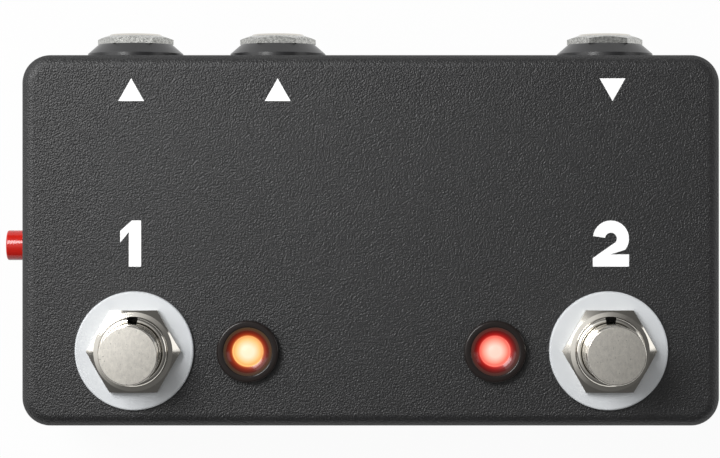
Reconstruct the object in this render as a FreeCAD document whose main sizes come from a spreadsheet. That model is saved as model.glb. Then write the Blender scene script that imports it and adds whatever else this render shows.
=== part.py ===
import FreeCAD
import Part
import Sketcher
import os

# A switch box for an instrument signal: a cast box with two foot switches, two lamps, three jack sockets,
# a power socket and a push button. It stands on its flat base plate, with +Z up and its back wall at +Y.
# The origin is the middle of the base plate's underside. Every length is in millimetres.

DIMENSIONS = [
    ("case_length", 122, "box, along X at the open rim"),
    ("case_width", 66, "box, along Y at the open rim"),
    ("case_height", 39.5, "top panel above the ground"),
    ("wall", 2.3, "thickness of the four walls"),
    ("top", 2.6, "thickness of the top panel"),
    ("draft", 1.92, "lean of the walls, in degrees, so that the casting leaves its mould"),
    ("corner_radius", 4.8, "upright outer edges"),
    ("inner_radius", 2.6, "upright inner edges"),
    ("top_edge_radius", 2.1, "edge round the top panel"),
    ("cavity_edge_radius", 1.0, "inner edge under the top panel"),
    ("post_x", 55.4, "screw posts"),
    ("post_y", 27.6, "screw posts"),
    ("post_radius", 3.6, "screw posts"),
    ("post_root", 0.2, "screw posts run into the top panel"),
    ("thread_radius", 1.75, "tapped hole in a screw post"),
    ("thread_depth", 14, "tapped hole in a screw post"),
    ("plate", 2.2, "thickness of the base plate"),
    ("plate_edge", 0.6, "rounding of the base plate's lower edge"),
    ("rib", 1.6, "height and width of the ribs that centre the plate"),
    ("rib_gap", 0.4, "rib to wall"),
    ("rib_stop", 1.0, "ribs end short of the screw posts"),
    ("screw_radius", 1.7, "shank of a base screw"),
    ("screw_hole_radius", 1.9, "screw hole in the base plate"),
    ("countersink", 1.8, "depth of the countersink"),
    ("screw_length", 12, "shank below the head"),
    ("screw_sunk", 0.2, "head below the plate's face"),
    ("screw_seat_gap", 0.02, "screw head to its countersink"),
    ("screw_point", 0.6, "chamfer of a screw's end"),
    ("cross_width", 0.9, "cross recess"),
    ("cross_span", 3.8, "cross recess"),
    ("cross_depth", 1.1, "cross recess"),
    ("panel_shift", 0.1, "foot switches and lamps sit this far right of the middle"),
    ("switch_x", 40.5, "foot switches, either side of that"),
    ("switch_y", -18.8, "foot switches"),
    ("bush_radius", 5.95, "M12 thread of the foot switch"),
    ("bush_rise", 4.1, "end of the bushing above the panel"),
    ("bush_chamfer", 0.45, "end of the bushing"),
    ("key_width", 1.8, "keyway along the bushing"),
    ("key_depth", 7.0, "keyway below the bushing's end"),
    ("bush_flange", 1.2, "width of the flange at the bushing's foot"),
    ("bush_flange_sheet", 0.6, "thickness of that flange"),
    ("plunger_radius", 4.95, "button of the foot switch"),
    ("plunger_rise", 12.8, "button's end above the panel, not pressed"),
    ("plunger_edge", 0.35, "rounded edge of the button"),
    ("running_gap", 0.08, "radial clearance of what slides"),
    ("nylon_radius", 10.15, "white washer"),
    ("nylon", 0.9, "thickness of the white washer"),
    ("nylon_edge", 0.3, "rounded edge of the white washer"),
    ("washer_gap", 0.2, "washers to thread"),
    ("nut_across", 14, "foot switch nut, across its flats"),
    ("nut", 2.2, "thickness of the foot switch nut"),
    ("nut_face_radius", 6.74, "flat ring on the nut inside its chamfer"),
    ("nut_chamfer", 0.8, "depth of the chamfer at the nut's corners"),
    ("thread_gap", 0.05, "nut to thread"),
    ("lock_washer", 0.5, "toothed washer"),
    ("lock_radius", 9.0, "toothed washer"),
    ("lock_slot", 1.2, "gap between two teeth"),
    ("lock_slot_depth", 1.4, "depth of that gap"),
    ("lock_teeth", 14, "teeth of that washer"),
    ("inner_nut", 2.0, "thickness of the nut below the panel"),
    ("frame_drop", 5.8, "steel frame's upper face below the panel's"),
    ("frame_width", 17.2, "steel frame and switch case"),
    ("frame_sheet", 1.0, "steel frame's top plate"),
    ("frame_leg", 0.8, "steel frame's legs"),
    ("frame_leg_length", 9.0, "steel frame's legs"),
    ("switch_depth", 14.6, "plastic case below the frame's plate"),
    ("switch_wall", 1.2, "plastic case"),
    ("switch_floor", 1.8, "plastic case"),
    ("stop_radius", 6.2, "collar that keeps the button in"),
    ("stop", 1.1, "thickness of that collar"),
    ("stop_gap", 0.1, "collar to the frame, not pressed"),
    ("rod_radius", 1.5, "rod below the collar"),
    ("rod_length", 5.2, "rod below the collar"),
    ("guide_drop", 13.4, "spring guide's upper face below the panel's"),
    ("guide", 1.2, "thickness of the spring guide"),
    ("coil_radius", 3.9, "return spring"),
    ("coil_wire", 0.28, "radius of its wire"),
    ("coil_turns", 3, "turns of the return spring"),
    ("coil_gap", 0.05, "end of a spring to its seat"),
    ("pivot_drop", 17.4, "rocker's pivot below the panel"),
    ("pivot_radius", 0.75, "rocker's pivot pin"),
    ("pivot_gap", 0.05, "pivot pin in its holes, radial clearance"),
    ("rocker_length", 11.0, "rocker, along X"),
    ("rocker_width", 13.0, "rocker, along Y"),
    ("rocker", 1.0, "thickness of the rocker"),
    ("rocker_tilt", 9.0, "rocker's lean to either side, in degrees"),
    ("strip_width", 1.6, "moving contact strips"),
    ("strip", 0.3, "thickness of a contact strip"),
    ("lug_width", 1.9, "solder lugs, along X"),
    ("lug_sheet", 0.8, "solder lugs, along Y"),
    ("lug_length", 6.6, "solder lugs"),
    ("lug_drop", 19.2, "upper end of a lug below the panel"),
    ("lug_step_x", 4.6, "lug to lug"),
    ("lug_step_y", 5.2, "row to row"),
    ("lug_eye_radius", 0.5, "eye in a lug"),
    ("lug_eye_rise", 1.4, "eye above the lug's end"),
    ("lamp_x", 21.1, "lamps, either side of the switches' middle"),
    ("lamp_y", -18.9, "lamps"),
    ("holder_radius", 5.3, "rim of the lamp holder"),
    ("holder_rise", 1.6, "rim above the panel"),
    ("holder_lip", 0.7, "flat width of the rim"),
    ("bowl_radius", 4.2, "mouth of the hollow round the lamp"),
    ("bowl_depth", 1.9, "hollow round the lamp"),
    ("bowl_middle_radius", 3.85, "hollow, halfway down"),
    ("bowl_middle_rise", 0.7, "that height above the panel"),
    ("bowl_foot_radius", 3.25, "hollow, near its floor"),
    ("bowl_foot_rise", -0.05, "that height above the panel"),
    ("neck_radius", 3.95, "holder's neck through the panel"),
    ("neck_length", 8.0, "holder's neck"),
    ("lamp_radius", 2.5, "body of a 5 mm lamp"),
    ("lamp_flange", 2.9, "its flange"),
    ("lamp_flange_sheet", 1.0, "thickness of that flange"),
    ("lamp_gap", 0.1, "lamp in its holder, radial clearance"),
    ("lamp_flat", 0.02, "flat left on top of its dome, radius"),
    ("lamp_rise", 1.2, "top of the lamp above the panel"),
    ("lamp_length", 8.6, "lamp without its leads"),
    ("lead_step", 2.54, "lead to lead"),
    ("lead_radius", 0.25, "lamp lead"),
    ("ring_radius", 5.2, "ring that keeps the holder in"),
    ("ring", 2.0, "thickness of that ring"),
    ("output_1_x", -41.2, "first output jack"),
    ("output_2_x", -16.2, "second output jack"),
    ("input_x", 41.25, "input jack"),
    ("jack_height", 28.0, "jack axes above the ground"),
    ("jack_sag", 0.03, "jack axes below the middle of their holes in the wall"),
    ("jack_aside", 0.02, "jack axes left of the middle of those holes"),
    ("jack_bore", 3.25, "bore for a 6.35 mm plug, radius"),
    ("jack_thread", 4.75, "threaded nose, radius"),
    ("jack_nose", 3.75, "end of the nose beyond the wall"),
    ("jack_flange", 6.0, "flange inside the housing, radius"),
    ("jack_flange_sheet", 1.2, "thickness of that flange"),
    ("nose_chamfer", 0.3, "chamfers at the nose's end"),
    ("cone", 2.0, "tapered washer, between wall and nut"),
    ("cone_base", 8.35, "tapered washer at the wall, radius"),
    ("cone_top", 6.45, "tapered washer at the nut, radius"),
    ("cone_edge", 0.35, "straight edge at the washer's base"),
    ("jack_nut_across", 11.5, "jack nut, across its flats"),
    ("jack_nut_set_back", 0.3, "jack nut's face behind the end of the nose"),
    ("jack_nut_face", 5.0, "flat ring on the jack nut inside its chamfer, radius"),
    ("jack_nut_chamfer", 0.6, "depth of that chamfer at the corners"),
    ("jack_width", 15.6, "jack housing, along X"),
    ("jack_half_height", 7.6, "jack housing above its axis"),
    ("jack_front", 2.9, "front of the housing behind the wall's outer face"),
    ("jack_length", 25.8, "jack housing"),
    ("jack_wall", 1.4, "jack housing"),
    ("leaf_width", 3.0, "tip contact"),
    ("leaf", 0.4, "thickness of the tip contact"),
    ("leaf_root", 8.6, "front end of the tip contact behind the wall"),
    ("leaf_root_height", 5.6, "front end of the tip contact above the axis"),
    ("leaf_point", 21.6, "where it touches the plug, behind the wall"),
    ("leaf_point_height", 2.2, "where it touches the plug, above the axis"),
    ("leaf_end", 23.6, "bent-up end behind the wall"),
    ("leaf_end_height", 3.9, "bent-up end above the axis"),
    ("terminal", 0.5, "thickness of the jack's terminals"),
    ("terminal_width", 2.4, "width of the jack's terminals"),
    ("tip_arm_set_back", 1.6, "tip terminal behind the leaf's front end"),
    ("sleeve_inset", 0.4, "sleeve terminal outside the bore"),
    ("power_x", 12.8, "power socket"),
    ("power_height", 26.5, "power socket's axis above the ground"),
    ("power_width", 9.0, "power socket"),
    ("power_half_height", 4.6, "power socket above its axis"),
    ("power_length", 11.5, "power socket behind its nose"),
    ("power_nose", 4.1, "round nose in the wall, radius"),
    ("power_bore", 3.15, "bore round the pin, radius"),
    ("power_bore_depth", 9.3, "bore round the pin"),
    ("power_set_back", 0.3, "nose behind the wall's face"),
    ("power_pin", 1.05, "centre pin, radius"),
    ("power_pin_root", 1.35, "centre pin inside the housing's back, radius"),
    ("power_pin_set_back", 0.8, "end of the pin behind the nose's"),
    ("power_pin_tip", 0.4, "rounding of the pin's end"),
    ("power_leaf", 0.3, "thickness of the outer contact's leaf"),
    ("power_leaf_reach", 0.2, "how far that leaf stands into the bore"),
    ("power_leaf_end", 1.5, "end of that leaf behind the housing's front"),
    ("power_leaf_gap", 0.1, "outer contact in its slot"),
    ("hole_gap", 0.3, "what passes a wall, radial clearance"),
    ("past", 1.0, "how far a cut reaches beyond what it removes"),
    ("thread_hole_gap", 0.1, "threaded pieces in their panel holes, radial clearance"),
    ("button_y", -1.2, "red button"),
    ("button_height", 24.0, "red button's axis above the ground"),
    ("button_radius", 2.65, "red button"),
    ("button_rise", 4.0, "red button beyond the wall"),
    ("button_length", 5.9, "red button"),
    ("button_edge", 0.5, "chamfer of the red button"),
    ("stem_width", 2.3, "square stem of the red button"),
    ("stem_fit", 3.0, "stem inside the button"),
    ("stem_collar", 4.2, "collar on the stem"),
    ("stem_collar_sheet", 0.8, "collar on the stem"),
    ("stem_rod", 0.8, "rod behind the collar, radius"),
    ("stem_rod_length", 3.4, "rod behind the collar"),
    ("block_front", 4.0, "button's switch body behind the wall's outer face"),
    ("block_length", 9.5, "button's switch body"),
    ("block_width", 7.2, "button's switch body"),
    ("block_half_height", 3.6, "button's switch body above its axis"),
    ("block_wall", 0.8, "button's switch body"),
    ("stem_gap", 0.1, "stem in the body's front wall"),
    ("collar_gap", 0.05, "collar to the body's front wall, not pressed"),
    ("button_coil_radius", 1.5, "spring of the red button"),
    ("button_coil_wire", 0.18, "radius of its wire"),
    ("button_coil_turns", 6, "turns of that spring"),
    ("board_height", 20.0, "upper face of the circuit board"),
    ("board", 1.6, "thickness of the circuit board"),
    ("board_half_length", 50.0, "wide part of the board, along X"),
    ("board_back", 29.4, "board's back edge"),
    ("board_step", -7.0, "front edge of the wide part"),
    ("tongue_half_width", 29.0, "narrow part between the foot switches"),
    ("tongue_front", -28.0, "front edge of the narrow part"),
    ("resistor_radius", 1.15, "resistors"),
    ("resistor_length", 6.4, "resistors"),
    ("resistor_y", -20.0, "row of resistors"),
    ("resistor_step", 4.6, "resistor to resistor"),
    ("component_lead", 0.3, "leads of the small components, radius"),
    ("component_overhang", 2.0, "lead beyond the body"),
    ("capacitor_x", 12.8, "capacitor behind the power socket"),
    ("capacitor_y", 6.0, "capacitor behind the power socket"),
    ("capacitor_radius", 3.15, "capacitor"),
    ("capacitor_height", 11.0, "capacitor"),
    ("capacitor_edge", 0.4, "chamfer of its top"),
    ("crimp", 0.3, "depth and half width of the groove round it"),
    ("crimp_rise", 1.5, "that groove above the board"),
    ("diode_y", 6.0, "diode"),
    ("diode_radius", 1.2, "diode"),
    ("diode_length", 4.4, "diode"),
    ("wire_radius", 0.6, "wires from the lugs to the board"),
    ("wire_bend", 3.0, "bends of those wires"),
    ("wire_depth", 10.0, "lowest run of those wires above the ground"),
    ("wire_x", 25.0, "where they meet the board"),
]

PANEL = "dim.case_height"
JACKS = [("output_1", "dim.output_1_x"), ("output_2", "dim.output_2_x"), ("input", "dim.input_x")]
SIDES = [("left", -1), ("right", 1)]
ALONG_Y = FreeCAD.Rotation(FreeCAD.Vector(1, 0, 0), -90)
ALONG_MINUS_X = FreeCAD.Rotation(FreeCAD.Vector(0, 1, 0), -90)

doc = FreeCAD.newDocument("footswitch_box")
sheet = doc.addObject("Spreadsheet::Sheet", "dim")
pieces = []


def fill_sheet():
    """Write each driving dimension in its own row, with its name as the alias."""
    for row, (alias, number, note) in enumerate(DIMENSIONS, 1):
        sheet.set(f"A{row}", alias)
        sheet.set(f"B{row}", str(number))
        sheet.set(f"C{row}", note)
        sheet.setAlias(f"B{row}", alias)
    doc.recompute()


def value(text):
    """The number that an expression gives now."""
    return float(sheet.evalExpression(text))


def keep(piece, label):
    """Name a finished piece and list it for export."""
    piece.Label = label
    pieces.append(piece)
    return piece


def place(thing, x="0", y="0", z="0", turn=None):
    """Bind a thing's place to the sheet."""
    if turn:
        thing.Placement.Rotation = turn
    for axis, text in zip("xyz", (x, y, z)):
        thing.setExpression(f".Placement.Base.{axis}", text)
    return thing


def new_body(name, x="0", y="0", z="0", turn=None):
    return place(doc.addObject("PartDesign::Body", name), x, y, z, turn)


def own_plane(body, role):
    """One of the body's own origin planes."""
    return next(f for f in body.Origin.OriginFeatures if f.Role == role)


def new_sketch(body, name, role="XY_Plane", lift="0"):
    """A sketch on one of the body's own origin planes, moved along the plane's normal by lift."""
    sketch = body.newObject("Sketcher::SketchObject", name)
    sketch.AttachmentSupport = [(own_plane(body, role), "")]
    sketch.MapMode = "FlatFace"
    sketch.setExpression(".AttachmentOffset.Base.z", lift)
    return sketch


def bind(sketch, kind, where, text):
    """A dimension of the sketch that follows the sheet."""
    index = sketch.addConstraint(Sketcher.Constraint(kind, *where, value(text)))
    sketch.setExpression(f"Constraints[{index}]", text)


def outline(sketch, corners):
    """A closed outline through corners, each a pair of expressions."""
    points = [FreeCAD.Vector(value(x), value(y), 0) for x, y in corners]
    first = sketch.GeometryCount
    count = len(points)
    for i in range(count):
        sketch.addGeometry(Part.LineSegment(points[i], points[(i + 1) % count]))
    for i, (x, y) in enumerate(corners):
        sketch.addConstraint(Sketcher.Constraint("Coincident", first + i, 2, first + (i + 1) % count, 1))
        bind(sketch, "DistanceX", (-1, 1, first + i, 1), x)
        bind(sketch, "DistanceY", (-1, 1, first + i, 1), y)


def rectangle(sketch, width, depth, x="0", y="0"):
    """A rectangle about (x, y)."""
    sides = [("-", "-"), ("+", "-"), ("+", "+"), ("-", "+")]
    outline(sketch, [(f"{x} {a} ({width}) / 2", f"{y} {b} ({depth}) / 2") for a, b in sides])


def hexagon(sketch, across):
    """A hexagon with two flats square to the sketch's second axis."""
    reach = f"{across} / 2 / cos(30)"
    outline(sketch, [(f"{reach} * cos({60 * i})", f"{reach} * sin({60 * i})") for i in range(6)])


def circle(sketch, radius, x="0", y="0"):
    centre = FreeCAD.Vector(value(x), value(y), 0)
    index = sketch.addGeometry(Part.Circle(centre, FreeCAD.Vector(0, 0, 1), value(radius)))
    bind(sketch, "Radius", (index,), radius)
    bind(sketch, "DistanceX", (-1, 1, index, 3), x)
    bind(sketch, "DistanceY", (-1, 1, index, 3), y)


def feature(body, kind, sketch, length, back=False, middle=False):
    """A pad or a pocket of the sketch. A pocket that removes nothing stops the build."""
    doc.recompute()
    before = body.Shape.Volume if body.Tip else 0
    made = body.newObject(f"PartDesign::{kind}", kind.lower())
    made.Profile = sketch
    made.Reversed = back
    if middle:
        made.SideType = "Symmetric"
    made.setExpression("Length", length)
    doc.recompute()
    if kind == "Pocket" and body.Shape.Volume > before - 1e-6:
        raise RuntimeError(f"{body.Name}: {sketch.Name} removes nothing")
    return made


def turned(name, profile, **where):
    """A body turned about its own Z axis, from corners that are (radius, height)."""
    body = new_body(name, **where)
    sketch = new_sketch(body, "profile", "XZ_Plane")
    outline(sketch, profile)
    doc.recompute()
    made = body.newObject("PartDesign::Revolution", "revolution")
    made.Profile = sketch
    made.ReferenceAxis = (sketch, ["V_Axis"])
    made.Angle = 360
    doc.recompute()
    return body


def edges_where(body, test):
    """Names of the edges that pass the test, which sees them in the body's own frame."""
    return [f"Edge{i}" for i, edge in enumerate(body.Tip.Shape.Edges, 1) if test(edge)]


def dress(body, kind, size, test):
    """Round or chamfer the edges that pass the test."""
    names = edges_where(body, test)
    if not names:
        raise RuntimeError(f"{body.Name}: no edge to {kind.lower()}")
    base = body.Tip
    made = body.newObject(f"PartDesign::{kind}", kind.lower())
    made.Base = (base, names)
    made.setExpression("Radius" if kind == "Fillet" else "Size", size)
    doc.recompute()
    body.Tip = made
    doc.recompute()


def is_rim(radius, height):
    """A test for the circle of that radius at that height on the body's own Z axis, in its own frame."""
    def test(edge):
        curve = edge.Curve
        if not isinstance(curve, Part.Circle):
            return False
        return abs(curve.Radius - value(radius)) < 1e-4 and abs(curve.Center.z - value(height)) < 1e-4
    return test


def is_upright(edge):
    middle = (edge.FirstParameter + edge.LastParameter) / 2
    return abs(edge.tangentAt(middle).z) > 0.5


def box(name, low, high):
    """A block between two corners, each three expressions."""
    made = doc.addObject("Part::Box", name)
    for side, start, end in zip(("Length", "Width", "Height"), low, high):
        made.setExpression(side, f"({end}) - ({start})")
    return place(made, *low)


def rod(name, radius, length, **where):
    made = doc.addObject("Part::Cylinder", name)
    made.setExpression("Radius", radius)
    made.setExpression("Height", length)
    return place(made, **where)


def cut(name, base, tool):
    made = doc.addObject("Part::Cut", name)
    made.Base = base
    made.Tool = tool
    doc.recompute()
    return made


def fuse(name, shapes):
    made = doc.addObject("Part::MultiFuse", name)
    made.Shapes = shapes
    doc.recompute()
    return made


def group(name, source, places):
    """Separate copies of one piece, as one group."""
    copies = []
    for index, (x, y, z) in enumerate(places, 1):
        copy = doc.addObject("App::Link", f"{name}_{index}")
        copy.LinkedObject = source
        copy.LinkTransform = True
        copies.append(place(copy, x, y, z))
    made = doc.addObject("Part::Compound", name)
    made.Links = copies
    doc.recompute()
    return keep(made, name)


def wall_face(half, height):
    """How far a leaning wall's outer face is from the middle of the box, at a height above the ground."""
    return f"({half} - ({height} - dim.plate) * tan(dim.draft))"


def corner_places(z):
    """The four screw posts."""
    return [(f"{a} * dim.post_x", f"{b} * dim.post_y", z) for a in (-1, 1) for b in (-1, 1)]


def mirror_places(x, y, z):
    """The same place on the left and on the right of the panel."""
    return [(f"{side} * {x} + dim.panel_shift", y, z) for _, side in SIDES]


def leaning_block(name, length, width, height, radius, **where):
    """A block that narrows upwards by the draft of the casting, with rounded upright edges."""
    body = new_body(name, **where)
    sketch = new_sketch(body, "rim")
    rectangle(sketch, length, width)
    pad = feature(body, "Pad", sketch, height)
    lean = body.newObject("PartDesign::Draft", "draft")
    sides = [f"Face{i}" for i, face in enumerate(pad.Shape.Faces, 1) if abs(face.normalAt(0, 0).z) < 0.5]
    lean.Base = (pad, sides)
    lean.NeutralPlane = (own_plane(body, "XY_Plane"), [""])
    lean.setExpression("Angle", "dim.draft")
    doc.recompute()
    dress(body, "Fillet", radius, is_upright)
    return body


def make_shell():
    """The cast box: top panel, four leaning walls and four screw posts, open below."""
    height = "(dim.case_height - dim.plate)"
    body = leaning_block("enclosure_shell", "dim.case_length", "dim.case_width", height,
                         "dim.corner_radius", z="dim.plate")
    dress(body, "Fillet", "dim.top_edge_radius", lambda edge: edge.BoundBox.ZMin > value(height) - 1e-4)
    inner_height = f"({height} - dim.top)"
    cavity = leaning_block("cavity", "dim.case_length - 2 * dim.wall", "dim.case_width - 2 * dim.wall",
                           inner_height, "dim.inner_radius")
    dress(cavity, "Fillet", "dim.cavity_edge_radius",
          lambda edge: edge.BoundBox.ZMin > value(inner_height) - 1e-4)
    hollow = body.newObject("PartDesign::Boolean", "hollow")
    hollow.Type = "Cut"
    hollow.setObjects([cavity])
    doc.recompute()
    posts = new_sketch(body, "posts")
    for x, y, _ in corner_places("0"):
        circle(posts, "dim.post_radius", x, y)
    feature(body, "Pad", posts, f"{inner_height} + dim.post_root")
    threads = new_sketch(body, "threads")
    for x, y, _ in corner_places("0"):
        circle(threads, "dim.thread_radius", x, y)
    feature(body, "Pocket", threads, "dim.thread_depth", back=True)
    openings = new_sketch(body, "panel_holes")
    for x, y, _ in mirror_places("dim.switch_x", "dim.switch_y", "0"):
        circle(openings, "dim.bush_radius + dim.thread_hole_gap", x, y)
    for x, y, _ in mirror_places("dim.lamp_x", "dim.lamp_y", "0"):
        circle(openings, "dim.neck_radius + dim.thread_hole_gap", x, y)
    feature(body, "Pocket", openings, f"{height} + dim.past", back=True)
    back = new_sketch(body, "back_holes", "XZ_Plane")
    for _, x in JACKS:
        middle = "dim.jack_height + dim.jack_sag - dim.plate"
        circle(back, "dim.jack_thread + dim.thread_hole_gap", f"{x} + dim.jack_aside", middle)
    circle(back, "dim.power_nose + dim.hole_gap", "dim.power_x", "dim.power_height - dim.plate")
    feature(body, "Pocket", back, "dim.case_width / 2 + dim.past")
    side = new_sketch(body, "button_hole", "YZ_Plane")
    circle(side, "dim.button_radius + dim.hole_gap", "dim.button_y", "dim.button_height - dim.plate")
    feature(body, "Pocket", side, "dim.case_length / 2 + dim.past")
    keep(body, "enclosure_shell")


def make_base_plate():
    """The cast lid: a flat plate with four countersunk holes and four ribs that centre it in the box."""
    body = new_body("base_plate")
    sketch = new_sketch(body, "plate")
    rectangle(sketch, "dim.case_length", "dim.case_width")
    feature(body, "Pad", sketch, "dim.plate")
    dress(body, "Fillet", "dim.corner_radius", is_upright)
    dress(body, "Fillet", "dim.plate_edge", lambda edge: edge.BoundBox.ZMax < 1e-4)
    ribs = new_sketch(body, "ribs")
    inset = "(dim.wall + dim.rib_gap + dim.rib / 2)"
    for sign in "-+":
        rectangle(ribs, "2 * (dim.post_x - dim.post_radius - dim.rib_stop)", "dim.rib",
                  y=f"0 {sign} (dim.case_width / 2 - {inset})")
        rectangle(ribs, "dim.rib", "2 * (dim.post_y - dim.post_radius - dim.rib_stop)",
                  x=f"0 {sign} (dim.case_length / 2 - {inset})")
    feature(body, "Pad", ribs, "dim.plate + dim.rib")
    holes = new_sketch(body, "screw_holes")
    for x, y, _ in corner_places("0"):
        circle(holes, "dim.screw_hole_radius", x, y)
    feature(body, "Pocket", holes, "dim.plate + dim.past", back=True)
    dress(body, "Chamfer", "dim.countersink", is_rim("dim.screw_hole_radius", "0"))
    keep(body, "base_plate")


def make_base_screws():
    """Four countersunk screws with a cross recess."""
    under_head = "(dim.countersink + dim.screw_hole_radius - dim.screw_radius - dim.screw_seat_gap)"
    head_radius = f"(dim.screw_radius + {under_head} - dim.screw_sunk)"
    end = f"({under_head} + dim.screw_length)"
    body = turned("base_screw", [
        ("0", "dim.screw_sunk"), (head_radius, "dim.screw_sunk"), ("dim.screw_radius", under_head),
        ("dim.screw_radius", f"{end} - dim.screw_point"), ("dim.screw_radius - dim.screw_point", end),
        ("0", end)])
    recess = new_sketch(body, "recess")
    half, wide = "dim.cross_span / 2", "dim.cross_width / 2"
    quarter = [(half, wide), (wide, wide), (wide, half)]
    turns = [(1, 1), (-1, 1), (-1, -1), (1, -1)]
    corners = []
    for a, b in turns:
        run = quarter if a * b > 0 else quarter[::-1]
        corners += [(f"{a} * {x}", f"{b} * {y}") for x, y in run]
    outline(recess, corners)
    feature(body, "Pocket", recess, "dim.screw_sunk + dim.cross_depth", back=True)
    group("base_screws", body, corner_places("0"))


def make_switch_fasteners():
    """The nuts and washers of both foot switches."""
    bore = "dim.bush_radius + dim.washer_gap"
    ring = turned("nylon_washer", [
        (bore, "0"), ("dim.nylon_radius", "0"), ("dim.nylon_radius", "dim.nylon"), (bore, "dim.nylon")])
    dress(ring, "Fillet", "dim.nylon_edge", is_rim("dim.nylon_radius", "dim.nylon"))
    places = mirror_places("dim.switch_x", "dim.switch_y", PANEL)
    group("footswitch_washers", ring, places)

    nut = make_nut("footswitch_nut", "dim.nut_across", "dim.nylon", "dim.nut",
                   "dim.bush_radius + dim.thread_gap", "dim.nut_face_radius", "dim.nut_chamfer")
    group("footswitch_nuts", nut, places)

    lock_under = "(-dim.top - dim.lock_washer)"
    lock = turned("lock_washer", [
        (bore, lock_under), ("dim.lock_radius", lock_under), ("dim.lock_radius", "-dim.top"),
        (bore, "-dim.top")])
    slot = new_sketch(lock, "slot", lift=lock_under)
    rectangle(slot, "2 * dim.lock_slot_depth", "dim.lock_slot", x="dim.lock_radius")
    gap = feature(lock, "Pocket", slot, "dim.lock_washer * 2", middle=True)
    pattern = lock.newObject("PartDesign::PolarPattern", "slots")
    pattern.Originals = [gap]
    pattern.Axis = (slot, ["N_Axis"])
    pattern.Angle = 360
    pattern.setExpression("Occurrences", "dim.lock_teeth")
    lock.Tip = pattern
    doc.recompute()
    group("footswitch_lock_washers", lock, places)

    inner = make_nut("footswitch_inner_nut", "dim.nut_across", f"{lock_under} - dim.inner_nut",
                     "dim.inner_nut", "dim.bush_radius + dim.thread_gap", "dim.nut_face_radius",
                     "dim.nut_chamfer")
    group("footswitch_inner_nuts", inner, places)


def make_nut(name, across, start, thickness, bore, face_radius, chamfer, **where):
    """A hexagon nut on the Z axis, with the corners of its upper face turned off."""
    body = new_body(name, **where)
    sketch = new_sketch(body, "hexagon", lift=start)
    hexagon(sketch, across)
    circle(sketch, bore)
    feature(body, "Pad", sketch, thickness)
    top = f"({start} + {thickness})"
    reach = f"({across} / 2 / cos(30))"
    corner = new_sketch(body, "corner", "XZ_Plane")
    slope = f"{chamfer} / ({reach} - {face_radius})"
    outline(corner, [(face_radius, top), (f"{reach} + dim.past", top),
                     (f"{reach} + dim.past", f"{top} - {chamfer} - dim.past * {slope}")])
    doc.recompute()
    made = body.newObject("PartDesign::Groove", "turned_corners")
    made.Profile = corner
    made.ReferenceAxis = (corner, ["V_Axis"])
    made.Angle = 360
    doc.recompute()
    return body


def make_foot_switch(side, sign):
    """One foot switch, without its nuts and washers."""
    where = {"x": f"{sign} * dim.switch_x + dim.panel_shift", "y": "dim.switch_y", "z": PANEL}
    name = f"{side}_footswitch"
    plate_under = "(-dim.frame_drop - dim.frame_sheet)"
    make_bushing(name, where)
    make_plunger(name, where)
    make_frame(name, where, plate_under)
    lugs = make_lugs(name, where)
    make_switch_case(name, where, plate_under, lugs)
    guide = new_body(f"{name}_spring_guide", **where)
    sketch = new_sketch(guide, "guide", lift="-dim.guide_drop")
    rectangle(sketch, "dim.frame_width - 2 * (dim.frame_leg + dim.switch_wall)",
              "dim.frame_width - 2 * dim.switch_wall")
    circle(sketch, "dim.rod_radius + dim.running_gap")
    feature(guide, "Pad", sketch, "dim.guide", back=True)
    keep(guide, f"{name}_spring_guide")
    under_stop = f"({plate_under} - dim.stop_gap - dim.stop)"
    spring = make_spring(f"{name}_spring", "dim.coil_radius", "dim.coil_wire", "dim.coil_turns",
                         "-dim.guide_drop", under_stop)
    keep(place(spring, **where), f"{name}_spring")
    make_rocker(name, where)


def make_bushing(name, where):
    """The threaded bushing, with its keyway towards the back and a flange that sits on the steel frame."""
    bore = "dim.plunger_radius + dim.running_gap"
    flange = "dim.bush_radius + dim.bush_flange"
    flange_top = "(-dim.frame_drop + dim.bush_flange_sheet)"
    body = turned(f"{name}_bushing", [
        (bore, "-dim.frame_drop - dim.frame_sheet"), ("dim.bush_radius", "-dim.frame_drop - dim.frame_sheet"),
        ("dim.bush_radius", "-dim.frame_drop"), (flange, "-dim.frame_drop"), (flange, flange_top),
        ("dim.bush_radius", flange_top), ("dim.bush_radius", "dim.bush_rise - dim.bush_chamfer"),
        ("dim.bush_radius - dim.bush_chamfer", "dim.bush_rise"), (bore, "dim.bush_rise")], **where)
    key = new_sketch(body, "keyway", lift="dim.bush_rise")
    rectangle(key, "dim.key_width", "dim.bush_radius", y="dim.bush_radius")
    feature(body, "Pocket", key, "dim.key_depth")
    keep(body, f"{name}_bushing")


def make_plunger(name, where):
    """The button that is stepped on: a round head, the collar that stops it, and a rod."""
    stop_top = "(-dim.frame_drop - dim.frame_sheet - dim.stop_gap)"
    under_stop = f"({stop_top} - dim.stop)"
    rod_end = f"({under_stop} - dim.rod_length)"
    body = turned(f"{name}_plunger", [
        ("0", rod_end), ("dim.rod_radius", rod_end), ("dim.rod_radius", under_stop),
        ("dim.stop_radius", under_stop), ("dim.stop_radius", stop_top), ("dim.plunger_radius", stop_top),
        ("dim.plunger_radius", "dim.plunger_rise"), ("0", "dim.plunger_rise")], **where)
    dress(body, "Fillet", "dim.plunger_edge", is_rim("dim.plunger_radius", "dim.plunger_rise"))
    keep(body, f"{name}_plunger")


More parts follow.
